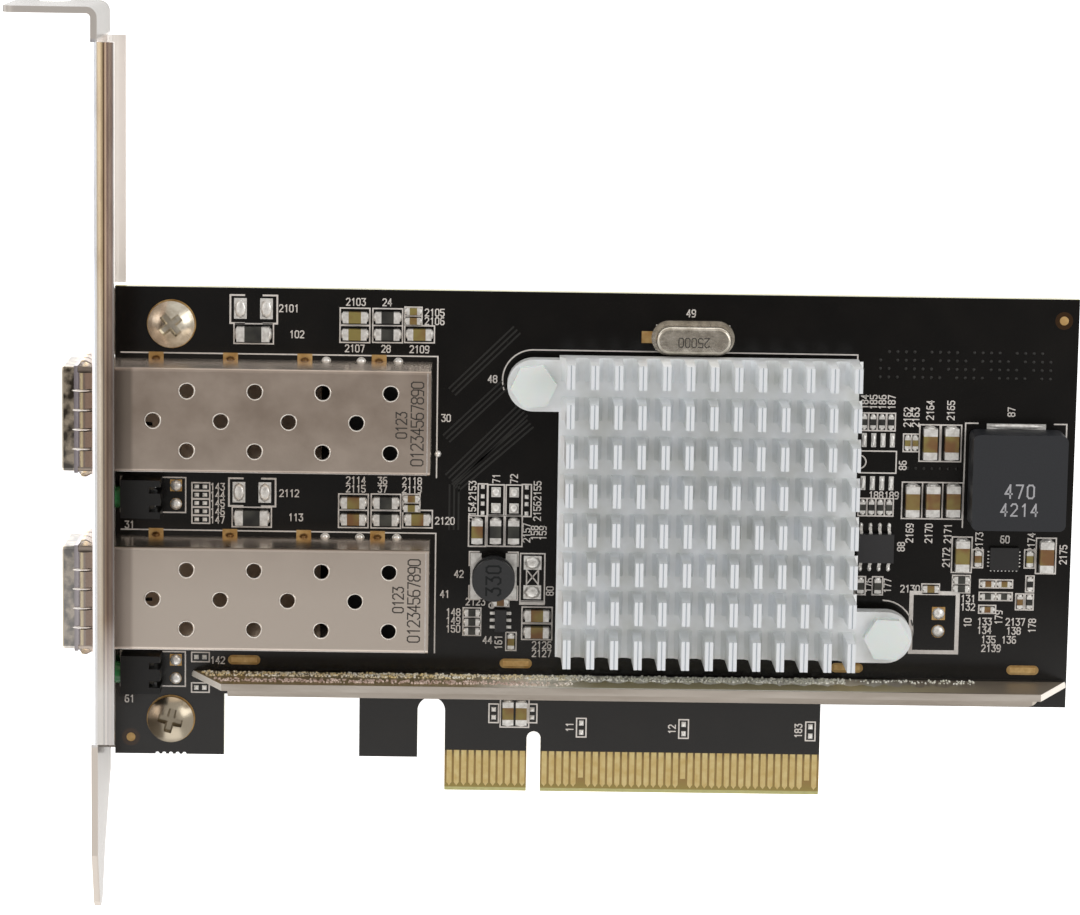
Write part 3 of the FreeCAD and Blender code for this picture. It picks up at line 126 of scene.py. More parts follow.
world = bpy.data.worlds.new("studio")
bpy.context.scene.world = world
world.use_nodes = True
sky = world.node_tree
height = add(sky, "ShaderNodeVectorMath", (add(sky, "ShaderNodeTexCoord"), SKY_AXIS), operation="DOT_PRODUCT")
fade = add(sky, "ShaderNodeMapRange", (height, *SKY_TURN), interpolation_type="SMOOTHSTEP")
blend = add(sky, "ShaderNodeMix", (fade, SKY_SIDE, SKY_TOP), data_type="RGBA")
fill(sky.nodes["Background"], {"Color": blend, "Strength": SKY_STRENGTH})

for name, place, size, power in LIGHTS:
    lamp = bpy.data.lights.new(name, "AREA")
    lamp.size = size
    lamp.energy = power
    holder = bpy.data.objects.new(name, lamp)
    bpy.context.scene.collection.objects.link(holder)
    holder.location = place
    holder.rotation_euler = (-holder.location.normalized()).to_track_quat("-Z", "Y").to_euler()

view = bpy.data.cameras.new("camera")
view.lens = LENS
view.sensor_width = SENSOR
view.clip_start = 10 * MM
watcher = bpy.data.objects.new("camera", view)
bpy.context.scene.collection.objects.link(watcher)
watcher.location = CAMERA_PLACE
watcher.rotation_euler = CAMERA_TILT
bpy.context.scene.camera = watcher
bpy.context.scene.view_settings.view_transform = "Standard"


# ---------------- board
# Glass-epoxy laminate, routed to shape, under a black photoimaged solder
# mask. The blade under the contacts and the cut edges show bare laminate.
def wear(node, material):
    """Gives a CAD node its material."""
    CARD[node].data.materials.clear()
    CARD[node].data.materials.append(material)


def axes(tree):
    """The object's own coordinates, one socket for each axis."""
    spot = add(tree, "ShaderNodeTexCoord").node.outputs["Object"]
    return add(tree, "ShaderNodeSeparateXYZ", (spot,)).node.outputs


def clouds(tree, size_mm, detail, stretch=None):
    """A cloudy pattern in patches of that size, drawn out along an axis by stretch."""
    spot = add(tree, "ShaderNodeTexCoord").node.outputs["Object"]
    if stretch:
        spot = add(tree, "ShaderNodeMapping", {"Vector": spot, "Scale": stretch})
    return add(tree, "ShaderNodeTexNoise", {"Vector": spot, "Scale": 1 / (size_mm * MM), "Detail": detail})


def layered(tree, colour, *coats):
    """Lays coats over a colour in turn: each is its cover, from 0 to 1, and its own colour."""
    for cover, coat in coats:
        colour = add(tree, "ShaderNodeMix", (cover, colour, coat), data_type="RGBA")
    return colour


def mottled(tree, size_mm, first, second, sharp=(0.0, 1.0), detail=3.0, stretch=None):
    """A colour that wanders between two shades in cloudy patches; sharp narrows the change."""
    patch = add(tree, "ShaderNodeMapRange", (clouds(tree, size_mm, detail, stretch), *sharp))
    return layered(tree, first, (patch, second))


def grain(tree, shader, size_mm, detail, strength, depth_mm, stretch=None):
    """Roughens the surface with a cloudy relief of that size and depth."""
    relief = add(tree, "ShaderNodeBump", {"Height": clouds(tree, size_mm, detail, stretch),
                                          "Strength": strength, "Distance": depth_mm * MM})
    fill(shader, {"Normal": relief})


BOARD_THICK, EDGE_SKIN = 1.57, 0.04
BLADE_LEFT, MASK_LINE, TIP_LINE = -12.3, 5.72, 1.0
MARKS, MARK_OPENING = ((-55.0, 6.95), (70.6, 66.0)), 1.2
# a dark glossy film, faintly cloudy; the bare resin is green-gold and the cut edges pale
mask, tree, shader = finish("black solder mask on laminate")
along, up, depth = axes(tree)
edge = add(tree, "ShaderNodeMath", (depth, -BOARD_THICK / 2 * MM, (BOARD_THICK / 2 - EDGE_SKIN) * MM),
           operation="COMPARE")
right = add(tree, "ShaderNodeMath", (along, BLADE_LEFT * MM), operation="GREATER_THAN")
below = add(tree, "ShaderNodeMath", (up, MASK_LINE * MM), operation="LESS_THAN")
blade = add(tree, "ShaderNodeMath", (right, below), operation="MULTIPLY")
film = mottled(tree, 6.0, "#090807", "#100E0C", (0.35, 0.7), 4.0)
# bare brown resin shows in the film's round openings at the two aiming marks
flat = add(tree, "ShaderNodeCombineXYZ", (along, up))
for x, y in MARKS:
    reach = add(tree, "ShaderNodeVectorMath", (flat, (x * MM, y * MM, 0)), operation="DISTANCE")
    opening = add(tree, "ShaderNodeMath", (reach, MARK_OPENING * MM), operation="LESS_THAN")
    film = layered(tree, film, (opening, "#33210F"))
from_tip = add(tree, "ShaderNodeMapRange", (up, (TIP_LINE - 0.3) * MM, (TIP_LINE + 0.8) * MM))
to_mask = add(tree, "ShaderNodeMapRange", (up, (MASK_LINE - 1.2) * MM, MASK_LINE * MM))
bare = layered(tree, "#8B7930", (from_tip, "#8A6E2E"), (to_mask, "#4E3C14"))
cut = mottled(tree, 0.8, "#8C8A48", "#B5AF6C")
fill(shader, {"Base Color": layered(tree, film, (blade, bare), (edge, cut)),
              "Roughness": add(tree, "ShaderNodeMapRange", (blade, 0.0, 1.0, 0.22, 0.5)),
              "Specular IOR Level": add(tree, "ShaderNodeMapRange", (up, 12 * MM, 30 * MM, 0.8, 0.3))})
grain(tree, shader, 0.5, 1.0, 0.12, 0.02)
wear("circuit_board", mask)


# ---------------- buried tracks
# Copper tracks under the solder mask stand out a hair's breadth: bundles run
# slantwise from the cages to the controller.
STRIP_SINK, STRIP_LIFT = 0.01, 0.004


def prism(shape, outline, bottom, top):
    """Adds a closed prism to a bmesh: an anticlockwise outline in mm, between two heights."""
    rings = [[shape.verts.new((x * MM, y * MM, z * MM)) for x, y in outline] for z in (bottom, top)]
    count = len(outline)
    for i in range(count):
        j = (i + 1) % count
        shape.faces.new((rings[0][i], rings[0][j], rings[1][j], rings[1][i]))
    shape.faces.new(rings[0][::-1])
    shape.faces.new(rings[1])


def stroke(shape, points, wide, rise, ground=0.0):
    """Adds a line drawn on the ground: closed strips that overlap at corners, every other one higher."""
    for i, ((x0, y0), (x1, y1)) in enumerate(zip(points, points[1:])):
        run = math.hypot(x1 - x0, y1 - y0)
        if run == 0:
            continue
        u, v = (x1 - x0) / run * wide / 2, (y1 - y0) / run * wide / 2
        prism(shape, [(x0 - u + v, y0 - v - u), (x1 + u + v, y1 + v - u),
                      (x1 + u - v, y1 + v + u), (x0 - u - v, y0 - v + u)],
              ground - STRIP_SINK, ground + rise + i % 2 * STRIP_LIFT)


def piece(name, shape, material):
    """Turns a bmesh into a piece of the card with its finish, held by the card's root."""
    mesh = bpy.data.meshes.new(name)
    shape.to_mesh(mesh)
    shape.free()
    mesh.materials.append(material)
    made = link_object(name, mesh)
    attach(made, "root")


TRACK_WIDE, TRACK_STEP, TRACK_RISE = 0.26, 0.62, 0.035
# each bundle: the ends of its first track, and how many tracks
BUNDLES = (((-12.1, 55.7), (-3.6, 64.1), 3), ((-12.8, 49.3), (-5.1, 56.7), 3),
           ((-12.4, 43.9), (-2.9, 53.4), 4), ((-11.5, 42.6), (-1.6, 51.4), 3),
           ((-11.9, 36.4), (-11.9, 42.4), 3))
tracks = bmesh.new()
for (x0, y0), (x1, y1), count in BUNDLES:
    run = math.hypot(x1 - x0, y1 - y0)
    u, v = -(y1 - y0) / run * TRACK_STEP, (x1 - x0) / run * TRACK_STEP
    for i in range(count):
        stroke(tracks, [(x0 - u * i, y0 - v * i), (x1 - u * i, y1 - v * i)], TRACK_WIDE, TRACK_RISE)
# the film over copper is a shade lighter and duller than over bare laminate
track_mask, tree, shader = finish("black solder mask over copper", Roughness=0.35, Specular_IOR_Level=0.5)
fill(shader, {"Base Color": mottled(tree, 2.0, "#100F0C", "#1A1915")})
piece("mask_tracks", tracks, track_mask)


# ---------------- printing
# White epoxy ink, screened on the mask: an outline round each part and a
# plain running number beside it.
SIDES = (-1, 1)
INK_RISE, INK_LINE = 0.025, 0.18
NUMBER_TALL, NUMBER_LINE = 0.92, 0.14
# the lines of each digit, in a cell one unit wide and 1.6 tall that is narrowed when drawn
CELL_TALL, CELL_BREADTH = 1.6, 0.8
DIGITS = {
    "0": [[(0, .25), (.25, 0), (.75, 0), (1, .25), (1, 1.35), (.75, 1.6), (.25, 1.6), (0, 1.35), (0, .25)]],
    "1": [[(.25, 1.3), (.6, 1.6), (.6, 0)]],
    "2": [[(0, 1.35), (.25, 1.6), (.75, 1.6), (1, 1.35), (1, 1.0), (0, 0), (1, 0)]],
    "3": [[(0, 1.6), (1, 1.6), (.5, .95), (.75, .95), (1, .7), (1, .25), (.75, 0), (.25, 0), (0, .25)]],
    "4": [[(.75, 0), (.75, 1.6), (0, .5), (1, .5)]],
    "5": [[(1, 1.6), (0, 1.6), (0, .9), (.75, .9), (1, .65), (1, .25), (.75, 0), (.25, 0), (0, .25)]],
    "6": [[(.9, 1.6), (.25, 1.6), (0, 1.1), (0, .25), (.25, 0), (.75, 0), (1, .25), (1, .65), (.75, .9),
           (0, .9)]],
    "7": [[(0, 1.6), (1, 1.6), (.4, 0)]],
    "8": [[(.25, .85), (0, .6), (0, .25), (.25, 0), (.75, 0), (1, .25), (1, .6), (.75, .85), (.25, .85),
           (0, 1.1), (0, 1.35), (.25, 1.6), (.75, 1.6), (1, 1.35), (1, 1.1), (.75, .85)]],
    "9": [[(.1, 0), (.75, 0), (1, .5), (1, 1.35), (.75, 1.6), (.25, 1.6), (0, 1.35), (0, .95), (.25, .7),
           (1, .7)]]}


def digits(shape, text, x, y, tall, turn, wide, rise, ground=0.0, step=1.45):
    """Draws plain digits centred on a point, turned by degrees, a step apart."""
    unit = tall / CELL_TALL
    broad = unit * CELL_BREADTH
    start = -((len(text) - 1) * step + 1) / 2
    c, s = math.cos(math.radians(turn)), math.sin(math.radians(turn))
    for place, digit in enumerate(text):
        for line in DIGITS[digit]:
            spots = [((start + place * step + u) * broad, (v - CELL_TALL / 2) * unit) for u, v in line]
            stroke(shape, [(x + u * c - v * s, y + u * s + v * c) for u, v in spots], wide, rise, ground)


def ring(x, y, wide, tall):
    """A closed rectangle's corners, from its centre."""
    return [(x + u * wide / 2, y + v * tall / 2) for u, v in ((-1, -1), (1, -1), (1, 1), (-1, 1), (-1, -1))]


def arc(x, y, radius, start, end, steps=16):
    """Points of an arc, angles in degrees."""
    return [(x + radius * math.cos(math.radians(start + (end - start) * i / steps)),
             y + radius * math.sin(math.radians(start + (end - start) * i / steps)))
            for i in range(steps + 1)]


# outlines round parts: centre x and y, width and height
OUTLINES = (
    [(-38.5, 62.7, 5.3, 2.7), (-24.9, 65.2, 4.0, 2.3), (-20.5, 65.2, 4.0, 2.3), (-17.05, 66.0, 2.3, 1.2),
     (-17.05, 64.8, 2.3, 1.2), (-24.9, 62.85, 4.0, 2.3), (-20.5, 62.9, 4.0, 2.3), (-16.2, 62.95, 4.0, 2.3),
     (-38.65, 37.65, 5.3, 2.7), (-24.9, 39.9, 4.0, 2.2), (-20.5, 39.95, 4.0, 2.2), (-17.05, 40.5, 2.3, 1.2),
     (-17.05, 39.3, 2.3, 1.2), (-24.9, 37.6, 4.0, 2.4), (-20.5, 37.6, 4.0, 2.4), (-16.2, 37.7, 4.0, 2.4),
     (-45.55, 18.2, 2.4, 1.3), (-45.55, 13.95, 2.4, 1.3)]
    + [(-45.55, 41.75 - 1.13 * i, 2.4, 1.05) for i in range(5)]
    + [(-7.4, 40.45, 1.25, 4.4), (-1.45, 40.45, 1.25, 4.4), (-5.6, 40.45, 2.2, 4.2), (-3.15, 40.45, 2.2, 4.2),
       (-8.1, 36.15, 2.3, 4.2), (-5.6, 36.2, 2.3, 4.2), (-3.15, 36.2, 2.3, 4.2), (-0.5, 29.85, 3.3, 6.6),
       (-8.65, 24.9, 2.4, 1.25), (-8.65, 23.6, 2.4, 1.25), (-8.65, 22.35, 2.4, 1.25), (-4.8, 26.4, 2.3, 1.2),
       (-3.3, 20.95, 1.4, 2.5), (0.2, 24.65, 4.1, 2.2), (0.2, 22.35, 4.1, 2.2)]
    + [(x, 51.9, 1.15, 2.4) for x in (44.0, 45.2, 46.4, 47.65)]
    + [(x, 40.2, 1.15, 2.4) for x in (44.1, 45.3, 46.5, 47.7)]
    + [(46.0, 46.4, 5.0, 3.0), (44.1, 29.35, 1.4, 2.5), (46.45, 29.35, 1.4, 2.5)]
    + [(x, 49.1, 2.75, 5.0) for x in (52.95, 55.85)] + [(x, 41.2, 2.75, 5.0) for x in (50.8, 53.55, 56.3)]
    + [(57.8, 33.8, 2.7, 4.9), (69.25, 33.8, 2.7, 4.9), (49.95, 49.1, 1.1, 2.4), (51.0, 49.1, 1.1, 2.4),
       (60.0, 33.3, 1.4, 2.5), (67.05, 33.35, 1.4, 2.5), (53.7, 29.05, 2.4, 1.3), (57.85, 30.35, 2.4, 1.2),
       (57.85, 29.15, 2.4, 1.2), (61.5, 29.85, 2.3, 1.1), (63.7, 29.85, 2.3, 1.1), (61.5, 28.1, 2.3, 1.1),
       (63.7, 28.1, 2.3, 1.1), (61.5, 26.3, 2.3, 1.1), (65.9, 27.4, 1.1, 2.2), (67.2, 29.9, 1.1, 2.2),
       (67.2, 27.4, 1.1, 2.2), (-2.65, 11.05, 3.9, 4.1), (-5.5, 10.9, 1.3, 2.6), (-0.25, 10.95, 1.3, 2.6),
       (6.5, 9.05, 1.3, 2.6), (20.5, 9.05, 1.3, 2.6), (37.85, 8.95, 1.3, 2.6), (-52.0, 40.55, 8.8, 4.8),
       (-52.0, 16.5, 8.8, 4.8)])
# running numbers, level or turned by degrees: how many digits, centre x and y
NUMBERS = (
    (0, [(4, -33.8, 66.2), (3, -32.7, 62.7), (4, -24.8, 67.2), (2, -20.6, 67.2), (4, -14.2, 65.9),
         (4, -14.2, 64.75), (4, -24.9, 60.9), (2, -20.7, 60.9), (4, -16.2, 60.9), (2, -12.5, 51.6),
         (2, -55.2, 36.4), (4, -33.6, 41.0), (3, -32.7, 37.7), (4, -24.6, 42.9), (4, -24.6, 41.75),
         (2, -21.0, 42.9), (2, -21.0, 41.75), (4, -17.0, 42.9), (4, -17.0, 41.75), (4, -12.5, 37.5),
         (2, -12.4, 27.4), (2, -10.5, 30.2), (4, -8.2, 26.4), (2, -6.5, 21.1), (2, -12.8, 14.0),
         (4, 0.9, 20.5), (4, 0.9, 19.35), (2, -6.3, 57.0), (2, 20.3, 66.3), (4, 50.9, 29.0),
         (3, 58.85, 27.75), (3, 58.85, 26.6), (3, 61.2, 24.6), (3, 61.2, 23.4), (3, 61.8, 22.1),
         (3, 64.6, 22.1), (4, 65.4, 24.6), (3, 65.2, 23.35), (4, 62.2, 20.9), (2, 63.6, 36.0),
         (2, -55.2, 12.3), (3, -43.2, 17.8)]
        + [(3, -43.3, 41.75 - 1.13 * i) for i in range(5)] + [(3, -11.2, 24.9 - 1.15 * i) for i in range(3)]),
    (90, [(2, -5.6, 43.4), (2, -3.2, 43.4), (4, -8.8, 41.7), (4, -8.8, 38.8), (4, 0.0, 41.8), (4, 0.0, 39.0),
          (4, -1.4, 36.0), (3, -0.3, 36.0), (3, 0.8, 36.0), (2, 1.9, 28.0), (3, -5.0, 20.8), (4, 49.85, 52.6),
          (4, 50.95, 52.6), (4, 52.9, 53.6), (4, 55.7, 53.6), (2, 49.4, 46.0), (2, 63.9, 53.5),
          (2, 49.5, 34.8), (4, 50.6, 36.7), (4, 53.2, 36.7), (4, 55.8, 36.7), (4, 55.7, 33.4),
          (4, 60.1, 35.6), (4, 67.2, 35.6), (4, 71.6, 34.0), (3, 45.25, 29.4), (3, 47.8, 29.4),
          (3, 67.7, 24.1), (3, 63.1, 25.2), (2, 58.9, 24.4), (2, 4.9, 9.1), (2, 18.9, 9.0), (3, 36.2, 9.0)]
         + [(3, x, 54.6) for x in (44.0, 45.2, 46.4, 47.65)]),
    (0, [(3, 45.9, 41.85), (3, 48.0, 41.85)]))
ink_print = bmesh.new()
for i, outline in enumerate(OUTLINES):
    stroke(ink_print, ring(*outline), INK_LINE, INK_RISE + i % 3 * STRIP_LIFT / 3)
count = 100
for turn, numbers in NUMBERS:
    for length, x, y in numbers:
        count += 1
        text = {2: str(count % 90 + 10), 3: str(count), 4: str(2000 + count)}[length]
        digits(ink_print, text, x, y, NUMBER_TALL, turn, NUMBER_LINE, INK_RISE + 2 * STRIP_LIFT, step=1.5)
OTHER_LINES = [
    # the cages' upper and rear edges, and the heat sink's upper edge with an arc round each push pin
    [(-56.3, 59.95), (-13.7, 59.95), (-13.7, 43.45)], [(-56.3, 35.75), (-13.7, 35.75), (-13.7, 19.25)],
    arc(-0.8, 56.9, 4.15, 200, 92) + [(42.9, 60.98), (42.9, 60.4)], arc(47.3, 23.2, 4.15, 90, -70),
    # the marks of first pins, and the crossed box of a diode
    arc(43.5, 46.4, 0.9, -90, 90), arc(-6.0, 25.9, 0.35, 0, 360),
    [(-1.3, 28.9), (-1.3, 30.9), (0.3, 28.9), (0.3, 30.9), (-1.3, 28.9)]]
for side in SIDES:
    # down the choke's sides, and the corners round the drum
    OTHER_LINES += [[(64.6 + side * 5.2, 51.9), (64.6 + side * 6.85, 51.9), (64.6 + side * 6.85, 37.6)],
                    [(-5.8 + side * 2.0, 33.3), (-5.8 + side * 3.3, 33.3), (-5.8 + side * 3.3, 31.4)],
                    [(-5.8 + side * 2.0, 26.7), (-5.8 + side * 3.3, 26.7), (-5.8 + side * 3.3, 28.6)]]
for line in OTHER_LINES:
    stroke(ink_print, line, INK_LINE, INK_RISE)
# brackets round each pair of large tinned lands, the jumper header's thick frame, and a bar
PAIRS, PAIR_LINE, HEADER_LINE, BAR_LINE = ((-38.5, 66.0), (-38.6, 41.05)), INK_LINE * 1.3, 0.55, 0.5
for x, y in PAIRS:
    for side in SIDES:
        corners = ((1.3, 1.9), (3.15, 1.9), (3.15, -1.9), (1.3, -1.9))
        stroke(ink_print, [(x + side * u, y + v) for u, v in corners], PAIR_LINE, INK_RISE)
stroke(ink_print, ring(54.3, 24.35, 6.3, 8.2), HEADER_LINE, INK_RISE)
stroke(ink_print, [(-2.0, 26.3), (1.0, 26.3)], BAR_LINE, INK_RISE)
# matt and a little thin in places, so it is never pure white
ink, tree, shader = finish("white epoxy ink", Roughness=0.6)
fill(shader, {"Base Color": mottled(tree, 0.6, "#C4BEB8", "#EAE5E0")})
piece("printed_outlines", ink_print, ink)


# ---------------- contacts and lands
# Hard gold over nickel on the edge contacts, and flash gold on the rings,
# jumper and oblong lands; the other lands are hot-air levelled tin.

# pale yellow with fine scratches along the card's insertion
gold, tree, shader = finish("hard gold plating", Metallic=1.0, Roughness=0.34)
fill(shader, {"Base Color": mottled(tree, 1.2, "#E2C684", "#F4E0A4", (0.3, 0.7))})
grain(tree, shader, 0.3, 2.0, 0.25, 0.01, (1.0, 0.15, 1.0))
wear("edge_contacts", gold)
# thin gold lets the copper's brown through
flash, tree, shader = finish("flash gold on copper", Metallic=0.7, Roughness=0.4)
fill(shader, {"Base Color": mottled(tree, 1.5, "#A97F45", "#D3B27A", (0.3, 0.7))})
grain(tree, shader, 0.4, 2.0, 0.4, 0.02)
wear("gold_lands", flash)
# bright and wavy, with soft highlights
tin, tree, shader = finish("reflowed tin", Metallic=0.55, Roughness=0.28)
fill(shader, {"Base Color": mottled(tree, 0.6, "#D8D5D0", "#FFFEFA", (0.3, 0.7))})
grain(tree, shader, 0.5, 2.0, 0.7, 0.05)
for node in ("tinned_lands", "capacitor_terminals", "resistor_terminals", "regulator_leads",
             "small_chip_leads", "power_inductor_terminals", "drum_inductor_terminals"):
    wear(node, tin)
# cut wire, greyer and duller than the solder round it
pin_steel, tree, shader = finish("dull tinned pin wire", Metallic=1.0, Roughness=0.5)
fill(shader, {"Base Color": mottled(tree, 0.5, "#5A5650", "#7A756D")})
wear("led_pins", pin_steel)
SLOT_PLACES, SLOT_LINE, SLOT_HALF = (-39.6, -2.6, 42.6, 66.6), 17.9, 1.4
LINING_WIDE, LINING_RISE = 0.7, 0.055
linings = bmesh.new()
for x in SLOT_PLACES:
    stroke(linings, [(x - SLOT_HALF, SLOT_LINE), (x + SLOT_HALF, SLOT_LINE)], LINING_WIDE, LINING_RISE)
# warm, catching the light in the middle of each oblong land
lined, tree, shader = finish("plated slot wall", Metallic=0.6, Roughness=0.4)
fill(shader, {"Base Color": mottled(tree, 0.7, "#C08F4A", "#FFE0A0")})
piece("slot_linings", linings, lined)


# ---------------- solder
# Tin solder, reflowed: it climbs the ends of the chip parts, wets the toes of
# the leads and stands as a small dome on each through-hole land.
def boxes_of(node):
    """Low and high corners, in mm, of each loose part of a CAD node."""
    shape = bmesh.new()
    shape.from_mesh(CARD[node].data)
    bmesh.ops.remove_doubles(shape, verts=shape.verts, dist=1e-6)
    found, left = [], set(shape.verts)
    while left:
        reached, front = [], [left.pop()]
        while front:
            here = front.pop()
            reached.append(here.co / MM)
            for edge in here.link_edges:
                other = edge.other_vert(here)
                if other in left:
                    left.remove(other)
                    front.append(other)
        found.append([tuple(end(v[i] for v in reached) for i in range(3)) for end in (min, max)])
    shape.free()
    return sorted(found)


def stamped(name, build, sizes, spots, material):
    """A piece that a node tree stamps at each spot: x, y, z in mm, turn in degrees, three stretches."""
    points = bpy.data.meshes.new(name)
    points.from_pydata([[value * MM for value in spot[:3]] for spot in spots], [], [])
    turns = points.attributes.new("turn", "FLOAT", "POINT")
    stretches = points.attributes.new("stretch", "FLOAT_VECTOR", "POINT")
    for i, spot in enumerate(spots):
        turns.data[i].value = math.radians(spot[3])
        stretches.data[i].vector = spot[4:]
    made = link_object(name, points)
    tree = bpy.data.node_groups.new(name, "GeometryNodeTree")
    tree.interface.new_socket("Geometry", in_out="INPUT", socket_type="NodeSocketGeometry")
    tree.interface.new_socket("Geometry", in_out="OUTPUT", socket_type="NodeSocketGeometry")
    for label, value in sizes.items():
        kind = "NodeSocketInt" if isinstance(value, int) else "NodeSocketFloat"
        tree.interface.new_socket(label, in_out="INPUT", socket_type=kind)
    given = add(tree, "NodeGroupInput")
    turn = add(tree, "GeometryNodeInputNamedAttribute", {"Name": "turn"}, data_type="FLOAT")
    copies = add(tree, "GeometryNodeInstanceOnPoints", {
        "Points": add(tree, "GeometryNodeMeshToPoints", {"Mesh": given}),
        "Instance": build(tree, given.node.outputs),
        "Rotation": add(tree, "ShaderNodeCombineXYZ", {"Z": turn}),
        "Scale": add(tree, "GeometryNodeInputNamedAttribute", {"Name": "stretch"}, data_type="FLOAT_VECTOR")})
    whole = add(tree, "GeometryNodeRealizeInstances", {"Geometry": copies})
    dressed = add(tree, "GeometryNodeSetMaterial", {"Geometry": whole, "Material": material})
    add(tree, "NodeGroupOutput", {"Geometry": dressed})
    maker = made.modifiers.new("stamps", "NODES")
    maker.node_group = tree
    for item in tree.interface.items_tree:
        if item.in_out == "INPUT" and item.name in sizes:
            maker[item.identifier] = sizes[item.name]
    mesh = bpy.data.meshes.new_from_object(made.evaluated_get(bpy.context.evaluated_depsgraph_get()))
    made.modifiers.remove(maker)
    made.data = mesh
    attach(made, "root")


def bead(tree, given):
    """A round bead that spots stretch to size."""
    sizes = {name: given[name] for name in ("Segments", "Rings", "Radius")}
    ball = add(tree, "GeometryNodeMeshUVSphere", sizes)
    return add(tree, "GeometryNodeSetShadeSmooth", {"Geometry": ball})


BEAD = {"Radius": MM, "Segments": 8, "Rings": 5}
END_SHARE = 0.24  # a metal end's share of a chip's length
FILLET_REACH, FILLET_HALF, FILLET_RISE, FILLET_Z, SAME_SPOT = 0.32, 0.47, 0.75, 0.02, 0.02
beads = []
for node in ("capacitor_terminals", "resistor_terminals"):
    ends = boxes_of(node)
    middles = [tuple((a + b) / 2 for a, b in zip(*corners)) for corners in ends]
    for (low, high), middle in zip(ends, middles):
        size = [b - a for a, b in zip(low, high)]
        axis = 0 if size[0] < size[1] else 1
        apart = size[axis] / END_SHARE - size[axis]
        for side in (1, -1):
            twin = list(middle)
            twin[axis] -= side * apart
            if min(math.dist(twin, other) for other in middles) < SAME_SPOT:
                spot = list(middle)
                spot[axis] += side * size[axis] / 2
                grow = [size[1 - axis] * FILLET_HALF, size[2] * FILLET_RISE]
                grow.insert(axis, FILLET_REACH)
                beads.append((spot[0], spot[1], FILLET_Z, 0, *grow))
# the lamps' pins, the jumper header, a quad and a dual package, the choke's end and a cage's tail
LED_LINES, LED_PAD_X, PIN_HALF = (40.6, 16.5), -48.9, 1.27
HEADER_X, HEADER_Y, HEADER_HALF = 54.88, 24.4, 1.235
QUAD_X, QUAD_LOW, QUAD_Y, QUAD_REACH, QUAD_PITCH = 63.55, 31.72, 33.3, 2.1, 0.5
DUAL_X, DUAL_Y, DUAL_REACH, DUAL_PITCH = 46.0, 46.45, 2.95, 1.27
CHOKE_END, CAGE_TAIL = (64.6, 51.55, 0.25, 0, 3.9, 0.38, 0.25), (-13.55, 46.7, 0.02, 0, 0.5, 0.5, 0.4)
DOME_LAND, DOME_RISE, REGULATOR_LINE = 1.3, 0.35, 34.7
# each spot: its place, no turn, and its reach along, across and up
beads += [(LED_PAD_X, line + side * PIN_HALF, 0.03, 0, 0.84, 0.84, 0.4)
          for line in LED_LINES for side in SIDES]
beads += [(HEADER_X, HEADER_Y + side * HEADER_HALF, 0.02, 0, 0.9, 0.9, 0.35) for side in SIDES]
beads += [CHOKE_END, CAGE_TAIL]
beads += [(QUAD_X + (i - 3.5) * QUAD_PITCH, QUAD_LOW, 0.03, 0, 0.13, 0.2, 0.1) for i in range(8)]
beads += [(QUAD_X + side * QUAD_REACH, QUAD_Y + (i - 2) * QUAD_PITCH, 0.03, 0, 0.2, 0.13, 0.1)
          for i in range(5) for side in SIDES]
for low, high in boxes_of("tinned_lands"):
    wide, long = high[0] - low[0], high[1] - low[1]
    domed = abs(wide - DOME_LAND) + abs(long - DOME_LAND) < 0.01
    beads.append(((low[0] + high[0]) / 2, (low[1] + high[1]) / 2, 0.045, 0, wide * 0.49, long * 0.49,
                  DOME_RISE if domed else 0.13 * min(wide, long)))
for low, high in boxes_of("regulator_leads"):
    toe = high[1] if high[1] > REGULATOR_LINE else low[1]
    beads.append(((low[0] + high[0]) / 2, toe, 0.02, 0, 0.3, 0.4, 0.28))
beads += [(DUAL_X + (i - 1.5) * DUAL_PITCH, DUAL_Y + side * DUAL_REACH, 0.03, 0, 0.3, 0.85, 0.12)
          for i in range(4) for side in SIDES]
stamped("solder_beads", bead, BEAD, beads, tin)
# flux browns the fillets where the cages' tails pass through gold lands
flux, tree, shader = finish("flux-stained gold solder", Metallic=0.5, Roughness=0.3)
fill(shader, {"Base Color": mottled(tree, 0.5, "#4A3014", "#8A6433")})
PORT_LINES, TAIL_PLACES, TAIL_REACH = (52.2, 28.1), (-51.6, -41.6, -31.6, -21.6), 7.05
tails = [(x, line + side * TAIL_REACH, 0.02, 0, 0.62, 0.35, 0.9)
         for x in TAIL_PLACES for line in PORT_LINES for side in SIDES]
stamped("tail_fillets", bead, BEAD, tails, flux)


# ---------------- tented vias
# Rows of plated through-holes lie under the mask and show as faint rings.
# One place in five of their grid is empty.
VIA_RADIUS, VIA_RISE, VIA_PITCH, VIA_ROW_PITCH = 0.26, 0.02, 1.15, 1.1
places = [(46.0 + VIA_PITCH * i, 61.5 - VIA_PITCH * j)
          for i in range(21) for j in range(4) if (i * 7 + j * 3) % 5]
places += [(49.0 + VIA_ROW_PITCH * i, 45.6) for i in range(9)]
vias = [(x, y, 0.0, 0, VIA_RADIUS, VIA_RADIUS, VIA_RISE) for x, y in places]
# the film over each via shines a little less, so only its ring catches light
via_mask, tree, shader = finish("black solder mask over a via", Roughness=0.35)
fill(shader, {"Base Color": mottled(tree, 2.0, "#0F0E0B", "#191713")})
stamped("tented_vias", bead, {"Radius": MM, "Segments": 10, "Rings": 3}, vias, via_mask)


